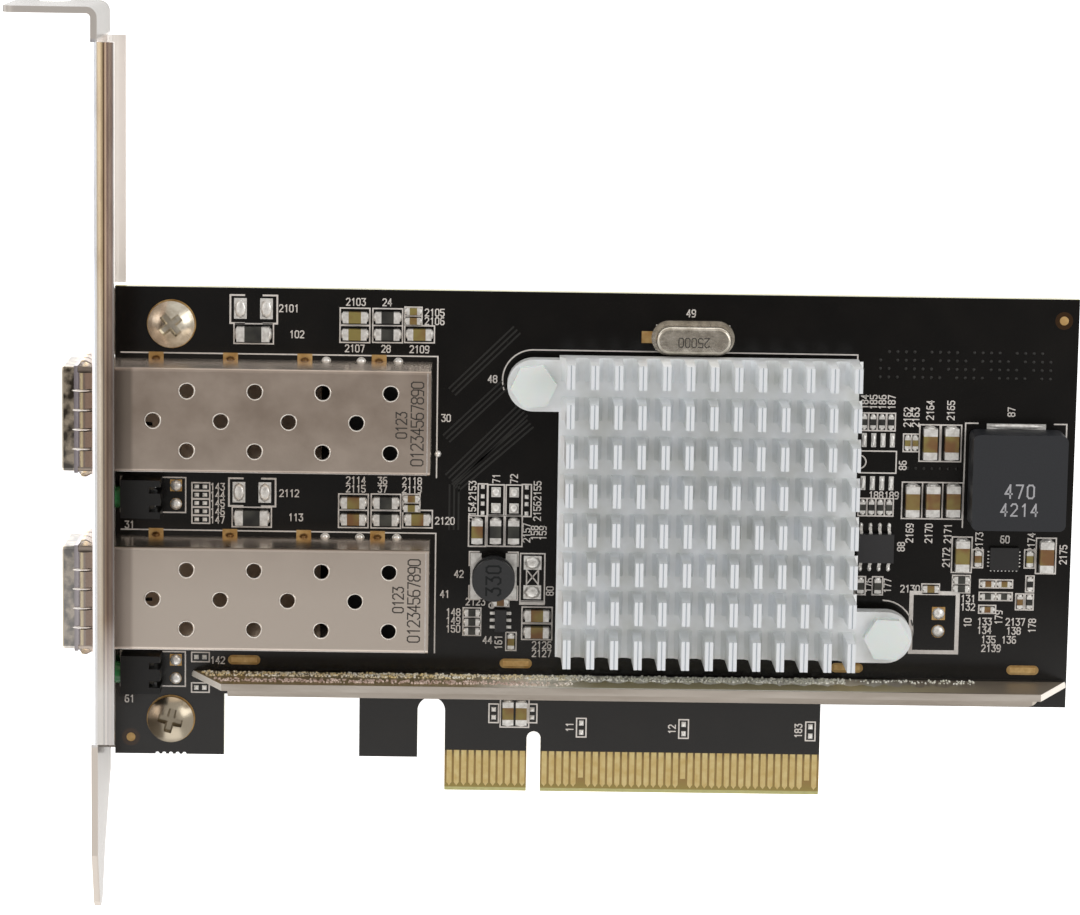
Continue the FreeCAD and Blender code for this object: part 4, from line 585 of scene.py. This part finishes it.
# ---------------- bracket and screws
# Cold-rolled steel, blanked, folded and bright nickel plated: drawn lines run
# along its length and the folds carry fine grain.
def bands(tree, value, stops):
    """Colours along a value: each stop is a place in mm and its colour."""
    first, last = stops[0][0], stops[-1][0]
    along_stops = add(tree, "ShaderNodeMapRange", (value, first * MM, last * MM))
    blended = add(tree, "ShaderNodeValToRGB", (along_stops,))
    stages = blended.node.color_ramp.elements
    while len(stages) < len(stops):
        stages.new(0.5)
    for stage, (place, colour) in zip(stages, stops):
        stage.position = (place - first) / (last - first)
        stage.color = linear(colour)
    return blended


LIP_LEFT, LIP_LOW, LIP_HIGH, LIP_FACE = -59.0, 9.1, 102.3, 13.6
# bright as a mirror on the flats; the near lip's fold stripes are painted reflections and highlights, the far
# lip is painted light, and the cut tab and tongue are dull with painted light on their upper faces
nickel, tree, shader = finish("bright nickel on rolled steel", Roughness=0.22)
along, up, depth = axes(tree)
rolled = mottled(tree, 2.0, "#BDADA2", "#DCD2CB", (0.3, 0.7), 4.0, (1.0, 0.06, 1.0))
# painted reflections and highlights across the near lip's fold: a white band on its bend and dark lines
# between
fold = bands(tree, along, [
    (LIP_LEFT, "#A2A4B4"), (LIP_LEFT + 0.3, "#DADEE8"), (LIP_LEFT + 0.7, "#F6F8FC"),
    (LIP_LEFT + 0.9, "#C0B098"), (LIP_LEFT + 1.55, "#C6B08C"), (LIP_LEFT + 1.72, "#826654"),
    (LIP_LEFT + 1.95, "#D8BEA2"), (LIP_LEFT + 2.2, "#BCA096"), (LIP_LEFT + 2.5, "#E4CCB8"),
    (LIP_LEFT + 2.8, "#C8B0A6"), (LIP_LEFT + 2.95, "#E8E2DE")])
worn = add(tree, "ShaderNodeMapRange", (clouds(tree, 1.2, 4.0, (1.0, 0.15, 1.0)), 0.45, 0.75, 0.0, 0.35))
# painted shade and light: beside the cages the lip's inner half is painted darker and its outer half paler;
# below them all of it is painted paler
inner = add(tree, "ShaderNodeMapRange", (along, (LIP_LEFT + 1.35) * MM, (LIP_LEFT + 2.0) * MM))
over = add(tree, "ShaderNodeMapRange", (up, 74 * MM, 58 * MM))
under = add(tree, "ShaderNodeMapRange", (up, 18 * MM, 27 * MM))
beside = add(tree, "ShaderNodeMath", (over, under), operation="MULTIPLY")
painted_shade_share = add(tree, "ShaderNodeMath", (inner, 0.6), operation="MULTIPLY")
painted_shade_share = add(tree, "ShaderNodeMath", (beside, painted_shade_share), operation="MULTIPLY")
pale = add(tree, "ShaderNodeMath", (inner, 0.3), operation="MULTIPLY")
pale = add(tree, "ShaderNodeMath", (0.3, pale), operation="SUBTRACT")
pale = add(tree, "ShaderNodeMath", (beside, pale), operation="MULTIPLY")
foot = add(tree, "ShaderNodeMapRange", (up, 26 * MM, 16 * MM, 0.0, 0.75))
pale = add(tree, "ShaderNodeMath", (pale, foot), operation="ADD")
fold = layered(tree, fold, (worn, "#7C6454"), (painted_shade_share, "#3C3026"), (pale, "#FFFFFF"))
near = add(tree, "ShaderNodeMath", (depth, LIP_FACE * MM), operation="GREATER_THAN")
# painted light: the far lip is painted a dull near-white
far_lip_painted_light = add(tree, "ShaderNodeMath", (depth, 0.0), operation="LESS_THAN")
turned = add(tree, "ShaderNodeTexCoord").node.outputs["Normal"]
upward = add(tree, "ShaderNodeSeparateXYZ", (turned,)).node.outputs["Z"]
# painted light: the tongue's and tab's up-facing faces are painted lighter than their sides
up_facing_painted_lighter = add(tree, "ShaderNodeMath", (upward, 0.5), operation="GREATER_THAN")
tongue = add(tree, "ShaderNodeMapRange", (up, LIP_LOW * MM, (LIP_LOW - 0.5) * MM))
tab = add(tree, "ShaderNodeMapRange", (up, LIP_HIGH * MM, (LIP_HIGH + 0.5) * MM))
tongue_tone = layered(tree, "#7A736C", (up_facing_painted_lighter, "#D2C9C0"))
tab_tone = layered(tree, "#736F69", (up_facing_painted_lighter, "#B8B2AC"))
ends = add(tree, "ShaderNodeMath", (tongue, tab), operation="MAXIMUM")
dulled = add(tree, "ShaderNodeMath", (far_lip_painted_light, ends), operation="MAXIMUM")
fill(shader, {"Base Color": layered(tree, rolled, (far_lip_painted_light, "#F4F0EC"), (near, fold), (tongue, tongue_tone),
                                    (tab, tab_tone)),
              "Metallic": add(tree, "ShaderNodeMapRange", (dulled, 0.0, 1.0, 1.0, 0.2)),
              "Specular IOR Level": add(tree, "ShaderNodeMapRange", (ends, 0.0, 1.0, 0.5, 0.05))})
# the fold's two swells and its grain, as relief
swell = add(tree, "ShaderNodeMapRange", (along, (LIP_LEFT + 0.7) * MM, (LIP_LEFT + 1.6) * MM))
crease = add(tree, "ShaderNodeMapRange", (along, (LIP_LEFT + 1.8) * MM, (LIP_LEFT + 2.1) * MM, 0.0, 0.35))
swell = add(tree, "ShaderNodeMath", (swell, crease), operation="ADD")
drawn = add(tree, "ShaderNodeMath", (clouds(tree, 0.5, 3.0, (1.0, 0.3, 1.0)), 0.04), operation="MULTIPLY")
swell = add(tree, "ShaderNodeMath", (swell, drawn), operation="ADD")
relief = add(tree, "ShaderNodeBump", {"Height": swell, "Strength": 1.0, "Distance": 0.14 * MM})
fill(shader, {"Normal": relief})
wear("mounting_bracket", nickel)
# warmer than the bracket, with soft reflections in the dome of each head
screw_nickel, tree, shader = finish("nickel-plated screw steel", Metallic=1.0, Roughness=0.24)
tone = mottled(tree, 1.5, "#B8AE9C", "#DDD6C6", (0.35, 0.65))
lower = add(tree, "ShaderNodeMapRange", (axes(tree)["Y"], 30 * MM, 15 * MM))
fill(shader, {"Base Color": layered(tree, tone, (lower, "#A69C8A"))})
grain(tree, shader, 0.6, 3.0, 0.25, 0.03)
wear("bracket_screws", screw_nickel)


# ---------------- module cages
# Nickel silver, stamped, folded into a tube and plated: satin on top, bright
# on the side walls, with a burnished burr round each vent.
CAGE_FRONT, CAGE_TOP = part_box("upper_cage_shell")[0][0] / MM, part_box("upper_cage_shell")[1][2] / MM
# painted light: the lower cage is painted paler than the upper one, on its top, its mouth and its collar
BETWEEN = (52 * MM, 28 * MM)  # from the upper cage to the lower one, which is paler
# satin sheet with a fine even grain; behind the mouth the top is painted darker, as painted shade
satin, tree, shader = finish("satin nickel on nickel silver")
along, up, depth = axes(tree)
lower = add(tree, "ShaderNodeMapRange", (up, *BETWEEN))
tone = mottled(tree, 5.0, "#9A8C80", "#B2A498", (0.3, 0.7), 5.0)
tone = layered(tree, tone, (lower, "#CBC0B5"))
front_painted_shade = layered(tree, "#857A70", (lower, "#AEA298"))
behind = add(tree, "ShaderNodeMapRange", (along, (CAGE_FRONT + 9.0) * MM, (CAGE_FRONT + 9.5) * MM))
flank = add(tree, "ShaderNodeMath", (depth, (CAGE_TOP - 0.5) * MM), operation="LESS_THAN")
mouth = mottled(tree, 1.6, "#443D34", "#BCAF9C", (0.42, 0.62))
# painted light whitens the lower cage's mouth
lit = add(tree, "ShaderNodeMapRange", (up, *BETWEEN, 0.0, 0.3))
rim = add(tree, "ShaderNodeMath", (along, (CAGE_FRONT + 0.18) * MM), operation="LESS_THAN")
mouth = layered(tree, mouth, (lit, "#FFFFFF"), (rim, "#F3EAD6"))
front = add(tree, "ShaderNodeMath", (along, (CAGE_FRONT + 1.8) * MM), operation="LESS_THAN")
above = add(tree, "ShaderNodeMath", (up, 40 * MM), operation="GREATER_THAN")
dulled = add(tree, "ShaderNodeMath", (flank, above), operation="MULTIPLY")
satin_rough = add(tree, "ShaderNodeMapRange", (clouds(tree, 0.2, 3.0), 0.3, 0.7, 0.30, 0.44))
flank_share = add(tree, "ShaderNodeMapRange", (flank, 0.0, 1.0, 1.0, 0.6))
front_share = add(tree, "ShaderNodeMapRange", (front, 0.0, 1.0, 1.0, 0.5))
polish = add(tree, "ShaderNodeMath", (satin_rough, flank_share), operation="MULTIPLY")
fill(shader, {"Base Color": layered(tree, front_painted_shade, (behind, tone), (flank, "#F5E8DA"), (front, mouth)),
              "Metallic": add(tree, "ShaderNodeMapRange", (dulled, 0.0, 1.0, 1.0, 0.85)),
              "Roughness": add(tree, "ShaderNodeMath", (polish, front_share), operation="MULTIPLY")})
grain(tree, shader, 0.12, 2.0, 0.25, 0.01)
# each finger's bow carries painted reflections: grey through a painted yellow highlight to brown
spring, tree, shader = finish("bright nickel on spring alloy", Metallic=1.0, Roughness=0.2)
along, up, depth = axes(tree)
bow = bands(tree, along, [
    (CAGE_FRONT + 1.5, "#948C92"), (CAGE_FRONT + 2.1, "#BEB6BC"), (CAGE_FRONT + 2.3, "#7E7A80"),
    (CAGE_FRONT + 2.45, "#FFF0C8"), (CAGE_FRONT + 2.8, "#E8D4AC"), (CAGE_FRONT + 2.95, "#9A887E"),
    (CAGE_FRONT + 4.2, "#B4A498")])
# painted light whitens the lower cage's collar
lit = add(tree, "ShaderNodeMapRange", (up, *BETWEEN, 0.0, 0.2))
fill(shader, {"Base Color": layered(tree, bow, (lit, "#FFFFFF"))})
grain(tree, shader, 1.5, 2.0, 0.2, 0.05)
# matt black with a slight moulded grain
resin, tree, shader = finish("black liquid-crystal polymer", Base_Color="#151515", Roughness=0.5)
grain(tree, shader, 0.1, 2.0, 0.2, 0.01)
for port in ("upper", "lower"):
    wear(port + "_cage_shell", satin)
    wear(port + "_cage_floor", satin)
    wear(port + "_grounding_collar", spring)
    wear(port + "_host_connector", resin)
    wear(port + "_connector_contacts", gold)
# the collar ribs' rubbed edges catch the light as thin bright lines, and thin bright strips along the cages'
# lower and rear top edges are painted highlights
bright_edge, tree, shader = finish("burnished spring edge and painted edge highlight", Metallic=0.8, Roughness=0.2)
fill(shader, {"Base Color": mottled(tree, 0.6, "#DCCFC4", "#FFFFFF")})
RIB_PLACE, RIB_STEP, RIB_LIFT = 2.65, 1.305, 0.35
ribs = [(CAGE_FRONT + RIB_PLACE, line + place * RIB_STEP, CAGE_TOP + RIB_LIFT, 0, 1.4, 0.22, 0.4)
        for line in PORT_LINES for place in (-3, -1, 1, 3)]
stamped("collar_ribs", bead, BEAD, ribs, bright_edge)
EDGE_HIGHLIGHT_RISE, SIDE_WIDE, REAR_WIDE = 0.008, 0.09, 0.16
# painted highlights along each cage top's lower and rear edges
painted_edge_highlights = bmesh.new()
for line in PORT_LINES:
    stroke(painted_edge_highlights, [(-55.9, line - 6.85), (-14.9, line - 6.85)], SIDE_WIDE, EDGE_HIGHLIGHT_RISE, CAGE_TOP)
    stroke(painted_edge_highlights, [(-14.85, line - 6.7), (-14.85, line + 6.7)], REAR_WIDE, EDGE_HIGHLIGHT_RISE, CAGE_TOP)
piece("cage_edge_highlights", painted_edge_highlights, bright_edge)


def hoop(tree, given):
    """A thin ring round a vent."""
    path = add(tree, "GeometryNodeCurvePrimitiveCircle", {"Resolution": 24, "Radius": given["Vent radius"]})
    wire = add(tree, "GeometryNodeCurvePrimitiveCircle", {"Resolution": 4, "Radius": given["Burr"]})
    return add(tree, "GeometryNodeCurveToMesh", {"Curve": path, "Profile Curve": wire})


VENT_RADIUS, BURR = 1.06, 0.12
VENT_FIRST, VENT_PITCH, VENT_ROW = 12.0, 9.0, 4.0
vents = []
for port in ("upper", "lower"):
    low, high = [[v / MM for v in corner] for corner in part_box(port + "_cage_shell")]
    first, line, top = low[0] + VENT_FIRST, (low[1] + high[1]) / 2, high[2]
    for i in range(4):
        vents.append((first + i * VENT_PITCH, line, top, 0, 1, 1, 1))
        vents += [(first + (i + 0.5) * VENT_PITCH, line + side * VENT_ROW, top, 0, 1, 1, 1) for side in SIDES]
# the sheared burr shines all round each dark vent
burr, tree, shader = finish("burnished sheared edge", Metallic=0.9, Roughness=0.2)
fill(shader, {"Base Color": mottled(tree, 0.9, "#CFC6BC", "#FFFBF4")})
stamped("vent_rims", hoop, {"Vent radius": VENT_RADIUS * MM, "Burr": BURR * MM}, vents, burr)

STAMP_WIDE, STAMP_RISE = 0.17, 0.012
# two lines of plain running digits up each cage: centre x and y, digits, height
CAGE_FIGURES = ((-16.2, 52.2, "01234567890", 1.6), (-18.3, 52.0, "0123", 1.4),
                (-16.4, 28.3, "01234567890", 1.6), (-18.5, 28.4, "0123", 1.4))
cage_marks = bmesh.new()
for x, y, text, tall in CAGE_FIGURES:
    digits(cage_marks, text, x, y, tall, 90, STAMP_WIDE, STAMP_RISE, CAGE_TOP, 1.3)
# soft brown-black, thinner in places
stamp_ink, tree, shader = finish("black stamping ink", Roughness=0.5)
fill(shader, {"Base Color": mottled(tree, 0.4, "#1E1A16", "#3A332C")})
piece("cage_marks", cage_marks, stamp_ink)


# ---------------- cooling
# Extruded aluminium, cross-cut into pins and bright dipped, on a grey pad
# over the controller; two white nylon push pins hold it.
SINK_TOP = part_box("heat_sink")[1][2] / MM
FIN_FIRST, FIN_PITCH, GROOVE_HALF = 4.07, 3.162, 0.07
# the acid dip leaves it white and silky; a grey line along each crest's groove is painted shade
aluminium, tree, shader = finish("bright-dipped extruded aluminium", Metallic=0.36, Roughness=0.36)
along, up, depth = axes(tree)
dipped = mottled(tree, 5.0, "#F8FBFE", "#E4E6E4", (0.35, 0.7))
from_fin = add(tree, "ShaderNodeMath", (along, FIN_FIRST * MM), operation="SUBTRACT")
from_fin = add(tree, "ShaderNodeMath", (from_fin, FIN_PITCH / 2 * MM), operation="PINGPONG")
middle = add(tree, "ShaderNodeMath", (from_fin, GROOVE_HALF * MM), operation="LESS_THAN")
top = add(tree, "ShaderNodeMath", (depth, (SINK_TOP - 0.3) * MM), operation="GREATER_THAN")
groove_painted_shade = add(tree, "ShaderNodeMath", (middle, top), operation="MULTIPLY")
crest = add(tree, "ShaderNodeMath", (depth, (SINK_TOP - 0.4) * MM), operation="GREATER_THAN")
fill(shader, {"Base Color": layered(tree, dipped, (crest, "#EDF1F5"), (groove_painted_shade, "#BFC5CA"))})
grain(tree, shader, 0.25, 3.0, 0.25, 0.02, (1.0, 0.2, 1.0))
wear("heat_sink", aluminium)
# milky, and light passes a little way into it
nylon, tree, shader = finish("natural nylon", Base_Color="#DDE4E2", Roughness=0.4, Subsurface_Weight=0.3,
                             Subsurface_Scale=1.5 * MM)
grain(tree, shader, 0.6, 2.0, 0.1, 0.03)
wear("push_pins", nylon)
# fine spark-eroded grain on near black; the small packages by the choke are blackest
epoxy, tree, shader = finish("moulded black epoxy", Roughness=0.5)
tone = mottled(tree, 0.3, "#19181A", "#242325")
small = add(tree, "ShaderNodeMapRange", (axes(tree)["X"], 55 * MM, 58 * MM))
fill(shader, {"Base Color": layered(tree, tone, (small, "#100F10"))})
grain(tree, shader, 0.12, 2.0, 0.3, 0.01)
for node in ("controller_chip", "regulator_body", "small_chips"):
    wear(node, epoxy)
wear("controller_lid", screw_nickel)
# dull and even, like putty
pad_rubber, tree, shader = finish("grey silicone pad", Roughness=0.7)
fill(shader, {"Base Color": mottled(tree, 0.4, "#77777C", "#8A8A90")})
wear("thermal_pad", pad_rubber)


# ---------------- stiffener rail
# A folded strip of nickel-plated steel along the lower edge: the wall is
# etched and glitters, its foot and cut edges are smooth.
RAIL_FACE, RAIL_LEFT, RAIL_RIGHT, RAIL_SLOPE, RAIL_TALL = 16.5, -46.7, 72.6, 4.6, 9.2
RAIL_MIDDLE, RAIL_FLAT_HALF = (RAIL_LEFT + RAIL_RIGHT) / 2, (RAIL_RIGHT - RAIL_LEFT) / 2 - RAIL_SLOPE
# brushed foot; sloped ends painted pale, whiter at the left, as painted light; a wall whose brown beside the
# cages and white under the fins are painted reflections, with painted shade at its base
rail_nickel, tree, shader = finish("nickel-plated strip steel", Roughness=0.36)
along, up, depth = axes(tree)
foot = mottled(tree, 1.5, "#B9AFA3", "#D8D0C6", (0.3, 0.7), 4.0, (0.1, 1.0, 1.0))
off_middle = add(tree, "ShaderNodeMath", (along, RAIL_MIDDLE * MM), operation="SUBTRACT")
off_middle = add(tree, "ShaderNodeMath", (off_middle,), operation="ABSOLUTE")
ends = add(tree, "ShaderNodeMath", (off_middle, RAIL_FLAT_HALF * MM), operation="GREATER_THAN")
# painted light: the sloped ends are a pale matt colour, whiter at the left end
rightward = add(tree, "ShaderNodeMapRange", (along, -40 * MM, 60 * MM))
painted_end_light = layered(tree, "#FFFBF2", (rightward, "#D9D2C6"))
outer = add(tree, "ShaderNodeMath", (up, (RAIL_FACE - 0.05) * MM), operation="GREATER_THAN")
low_part = add(tree, "ShaderNodeMath", (depth, (RAIL_TALL - 0.1) * MM), operation="LESS_THAN")
wall = add(tree, "ShaderNodeMath", (outer, low_part), operation="MULTIPLY")
sway = add(tree, "ShaderNodeMath", (clouds(tree, 20.0, 2.0), 10 * MM), operation="MULTIPLY")
wander = add(tree, "ShaderNodeMath", (along, sway), operation="ADD")
# painted reflections along the wall: brown beside the cages, white under the fins
wall_painted_reflections = bands(tree, wander, [(-46.0, "#8E7A52"), (-4.0, "#9C8C68"), (6.0, "#F6F2E6"), (42.0, "#FAF7EC"),
                            (56.0, "#857A6B"), (72.0, "#756B5E")])
# painted reflection of the heat sink's pins: a darker waved band runs along the wall at their pitch
wave = add(tree, "ShaderNodeMath", (along, FIN_PITCH / 2 * MM), operation="PINGPONG")
wave = add(tree, "ShaderNodeMath", (wave, 0.9), operation="MULTIPLY")
rough = add(tree, "ShaderNodeMath", (clouds(tree, 0.8, 4.0), 2.2 * MM), operation="MULTIPLY")
rise = add(tree, "ShaderNodeMath", (wave, rough), operation="ADD")
reach = add(tree, "ShaderNodeMath", (depth, 3.1 * MM), operation="SUBTRACT")
dip = add(tree, "ShaderNodeMath", (rise, reach), operation="LESS_THAN")
capped = add(tree, "ShaderNodeMath", (depth, 8.5 * MM), operation="LESS_THAN")
dip = add(tree, "ShaderNodeMath", (dip, capped), operation="MULTIPLY")
for start, full in ((0.0, 8 * MM), (62 * MM, 46 * MM)):
    fade = add(tree, "ShaderNodeMapRange", (along, start, full))
    dip = add(tree, "ShaderNodeMath", (dip, fade), operation="MULTIPLY")
streak = layered(tree, wall_painted_reflections, (dip, "#ABA07C"))
# painted shade: the wall is near-black at its base, fading out by 1.4 mm up
clear = add(tree, "ShaderNodeMapRange", (depth, 0.5 * MM, 1.4 * MM))
shade = layered(tree, "#0E0B08", (clear, streak))
plain = add(tree, "ShaderNodeMath", (wall, ends), operation="MAXIMUM")
fill(shader, {"Base Color": layered(tree, foot, (ends, painted_end_light), (wall, shade)),
              "Metallic": add(tree, "ShaderNodeMapRange", (plain, 0.0, 1.0, 1.0, 0.1))})
grain(tree, shader, 0.35, 3.0, 0.5, 0.03, (0.6, 1.0, 1.0))
wear("stiffener_rail", rail_nickel)
# bright crumbs of etched grain, coloured with painted glints and reflections: yellow low and pink high on the
# left and grey-white on the right; they are finer in the real steel, and drawn as coarse as they need to be
# to show
glitter, tree, shader = finish("etched nickel grain with painted glints", Metallic=0.1, Roughness=0.3)
along, up, depth = axes(tree)
warm, pink, grey = [mottled(tree, 0.9, first, second, (0.35, 0.65)) for first, second in
                    (("#F0D898", "#FFFEF6"), ("#B89C8C", "#F4E0D4"), ("#DCDCC8", "#FFFEF6"))]
high = add(tree, "ShaderNodeMath", (depth, 4.8 * MM), operation="GREATER_THAN")
rightward = add(tree, "ShaderNodeMapRange", (along, -4 * MM, 10 * MM))
fill(shader, {"Base Color": layered(tree, warm, (high, pink), (rightward, grey))})
scatter = random.Random(11)
# strewn fields: from and to along the wall, from and to in height, and how many crumbs
FIELDS = ((-46.0, 5.0, 1.3, 4.0, 860), (-46.0, 5.0, 5.6, 7.6, 650),
          (3.0, 42.0, 1.2, 4.2, 700), (36.0, 60.0, 1.2, 3.4, 110))
CRUMB, END_MARGIN = (0.06, 0.15), 0.4
grains = []
for left, right, low, high, count in FIELDS:
    for _ in range(count):
        x, z = scatter.uniform(left, right), scatter.uniform(low, high)
        size = scatter.uniform(*CRUMB)
        if x > RAIL_LEFT + RAIL_SLOPE * z / RAIL_TALL + END_MARGIN:
            grains.append((x, RAIL_FACE, z, 0, size * 1.4, size * 2, size))
stamped("rail_grain", bead, {"Radius": MM, "Segments": 6, "Rings": 4}, grains, glitter)


# ---------------- crystal
# A drawn, resistance-welded nickel can on its flanged base, with a plain
# figure stamped on its top.

# warm and faintly dented, so its reflections wander
can_nickel, tree, shader = finish("drawn nickel can", Metallic=1.0, Roughness=0.26)
fill(shader, {"Base Color": mottled(tree, 1.0, "#B4AC9E", "#DDD6C9", (0.3, 0.7), 4.0)})
grain(tree, shader, 0.5, 3.0, 0.4, 0.04)
wear("crystal_can", can_nickel)
wear("crystal_base", can_nickel)
CAN_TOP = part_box("crystal_can")[1][2] / MM
can_marks = bmesh.new()
digits(can_marks, "25000", 20.6, 62.8, 1.2, 180, 0.13, STAMP_RISE, CAN_TOP)
piece("crystal_marks", can_marks, stamp_ink)


# ---------------- inductors
# Pressed iron-powder block and a wound ferrite drum, both dull and dark, with
# plain figures: pale grey ink on the block and near-black ink on the drum.
CHOKE_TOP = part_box("power_inductor_body")[1][2] / MM
DRUM_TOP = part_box("drum_inductor_core")[1][2] / MM
# blue-black and sandy
powder, tree, shader = finish("pressed iron powder", Roughness=0.5)
fill(shader, {"Base Color": mottled(tree, 0.25, "#111318", "#1B1E24", detail=4.0)})
grain(tree, shader, 0.2, 3.0, 0.5, 0.03)
wear("power_inductor_body", powder)
# smoother and greyer
ferrite, tree, shader = finish("fired ferrite", Roughness=0.45)
fill(shader, {"Base Color": mottled(tree, 0.4, "#1E1F20", "#2A2B2D", detail=4.0)})
grain(tree, shader, 0.3, 3.0, 0.3, 0.02)
wear("drum_inductor_core", ferrite)
figures = bmesh.new()
digits(figures, "470", 64.6, 43.6, 1.75, 0, 0.22, STAMP_RISE, CHOKE_TOP, 1.7)
digits(figures, "4214", 64.6, 41.1, 1.6, 0, 0.2, STAMP_RISE, CHOKE_TOP, 1.7)
# reads clearly on the block without being white
pale_ink, tree, shader = finish("pale grey marking ink", Roughness=0.6)
fill(shader, {"Base Color": mottled(tree, 0.5, "#8E8E92", "#B4B4B8")})
piece("inductor_marks", figures, pale_ink)
drum_figures = bmesh.new()
digits(drum_figures, "330", -5.8, 30.0, 1.9, 90, 0.26, 0.015, DRUM_TOP, 1.6)
# barely darker than the drum, so the figures only just show
dark_ink, tree, shader = finish("dark grey marking ink", Roughness=0.7, Specular_IOR_Level=0.3)
fill(shader, {"Base Color": mottled(tree, 0.5, "#0C0F10", "#141819")})
piece("drum_marks", drum_figures, dark_ink)


# ---------------- lamps
# Right-angle lamp blocks: black housings with green light pipes that reach
# the bracket's two holes.

# deep black with a moulded sheen
lamp_resin, tree, shader = finish("black polyamide", Base_Color="#080808", Roughness=0.35)
grain(tree, shader, 0.15, 2.0, 0.2, 0.01)
wear("led_housings", lamp_resin)
# tinted and clear enough to glow at its edges
lens, tree, shader = finish("green acrylic", Base_Color="#3E8E55", Roughness=0.15, Transmission_Weight=0.4)
grain(tree, shader, 1.0, 1.0, 0.05, 0.02)
wear("led_lenses", lens)


# ---------------- chip parts
# Fired ceramic chips with tinned ends: tan capacitors and dark resistors
# and ferrite beads.

# tan in some and olive in others, smooth and slightly waxy
ceramic, tree, shader = finish("fired capacitor ceramic", Roughness=0.35)
fill(shader, {"Base Color": mottled(tree, 3.0, "#77532F", "#857840", (0.4, 0.6), 2.0)})
grain(tree, shader, 0.15, 2.0, 0.2, 0.01)
wear("capacitor_bodies", ceramic)
# a glassy coat, black on some and grey on others
overcoat, tree, shader = finish("resistor glaze", Roughness=0.3)
fill(shader, {"Base Color": mottled(tree, 3.0, "#1C1C1B", "#45453F", (0.35, 0.65), 2.0)})
wear("resistor_bodies", overcoat)
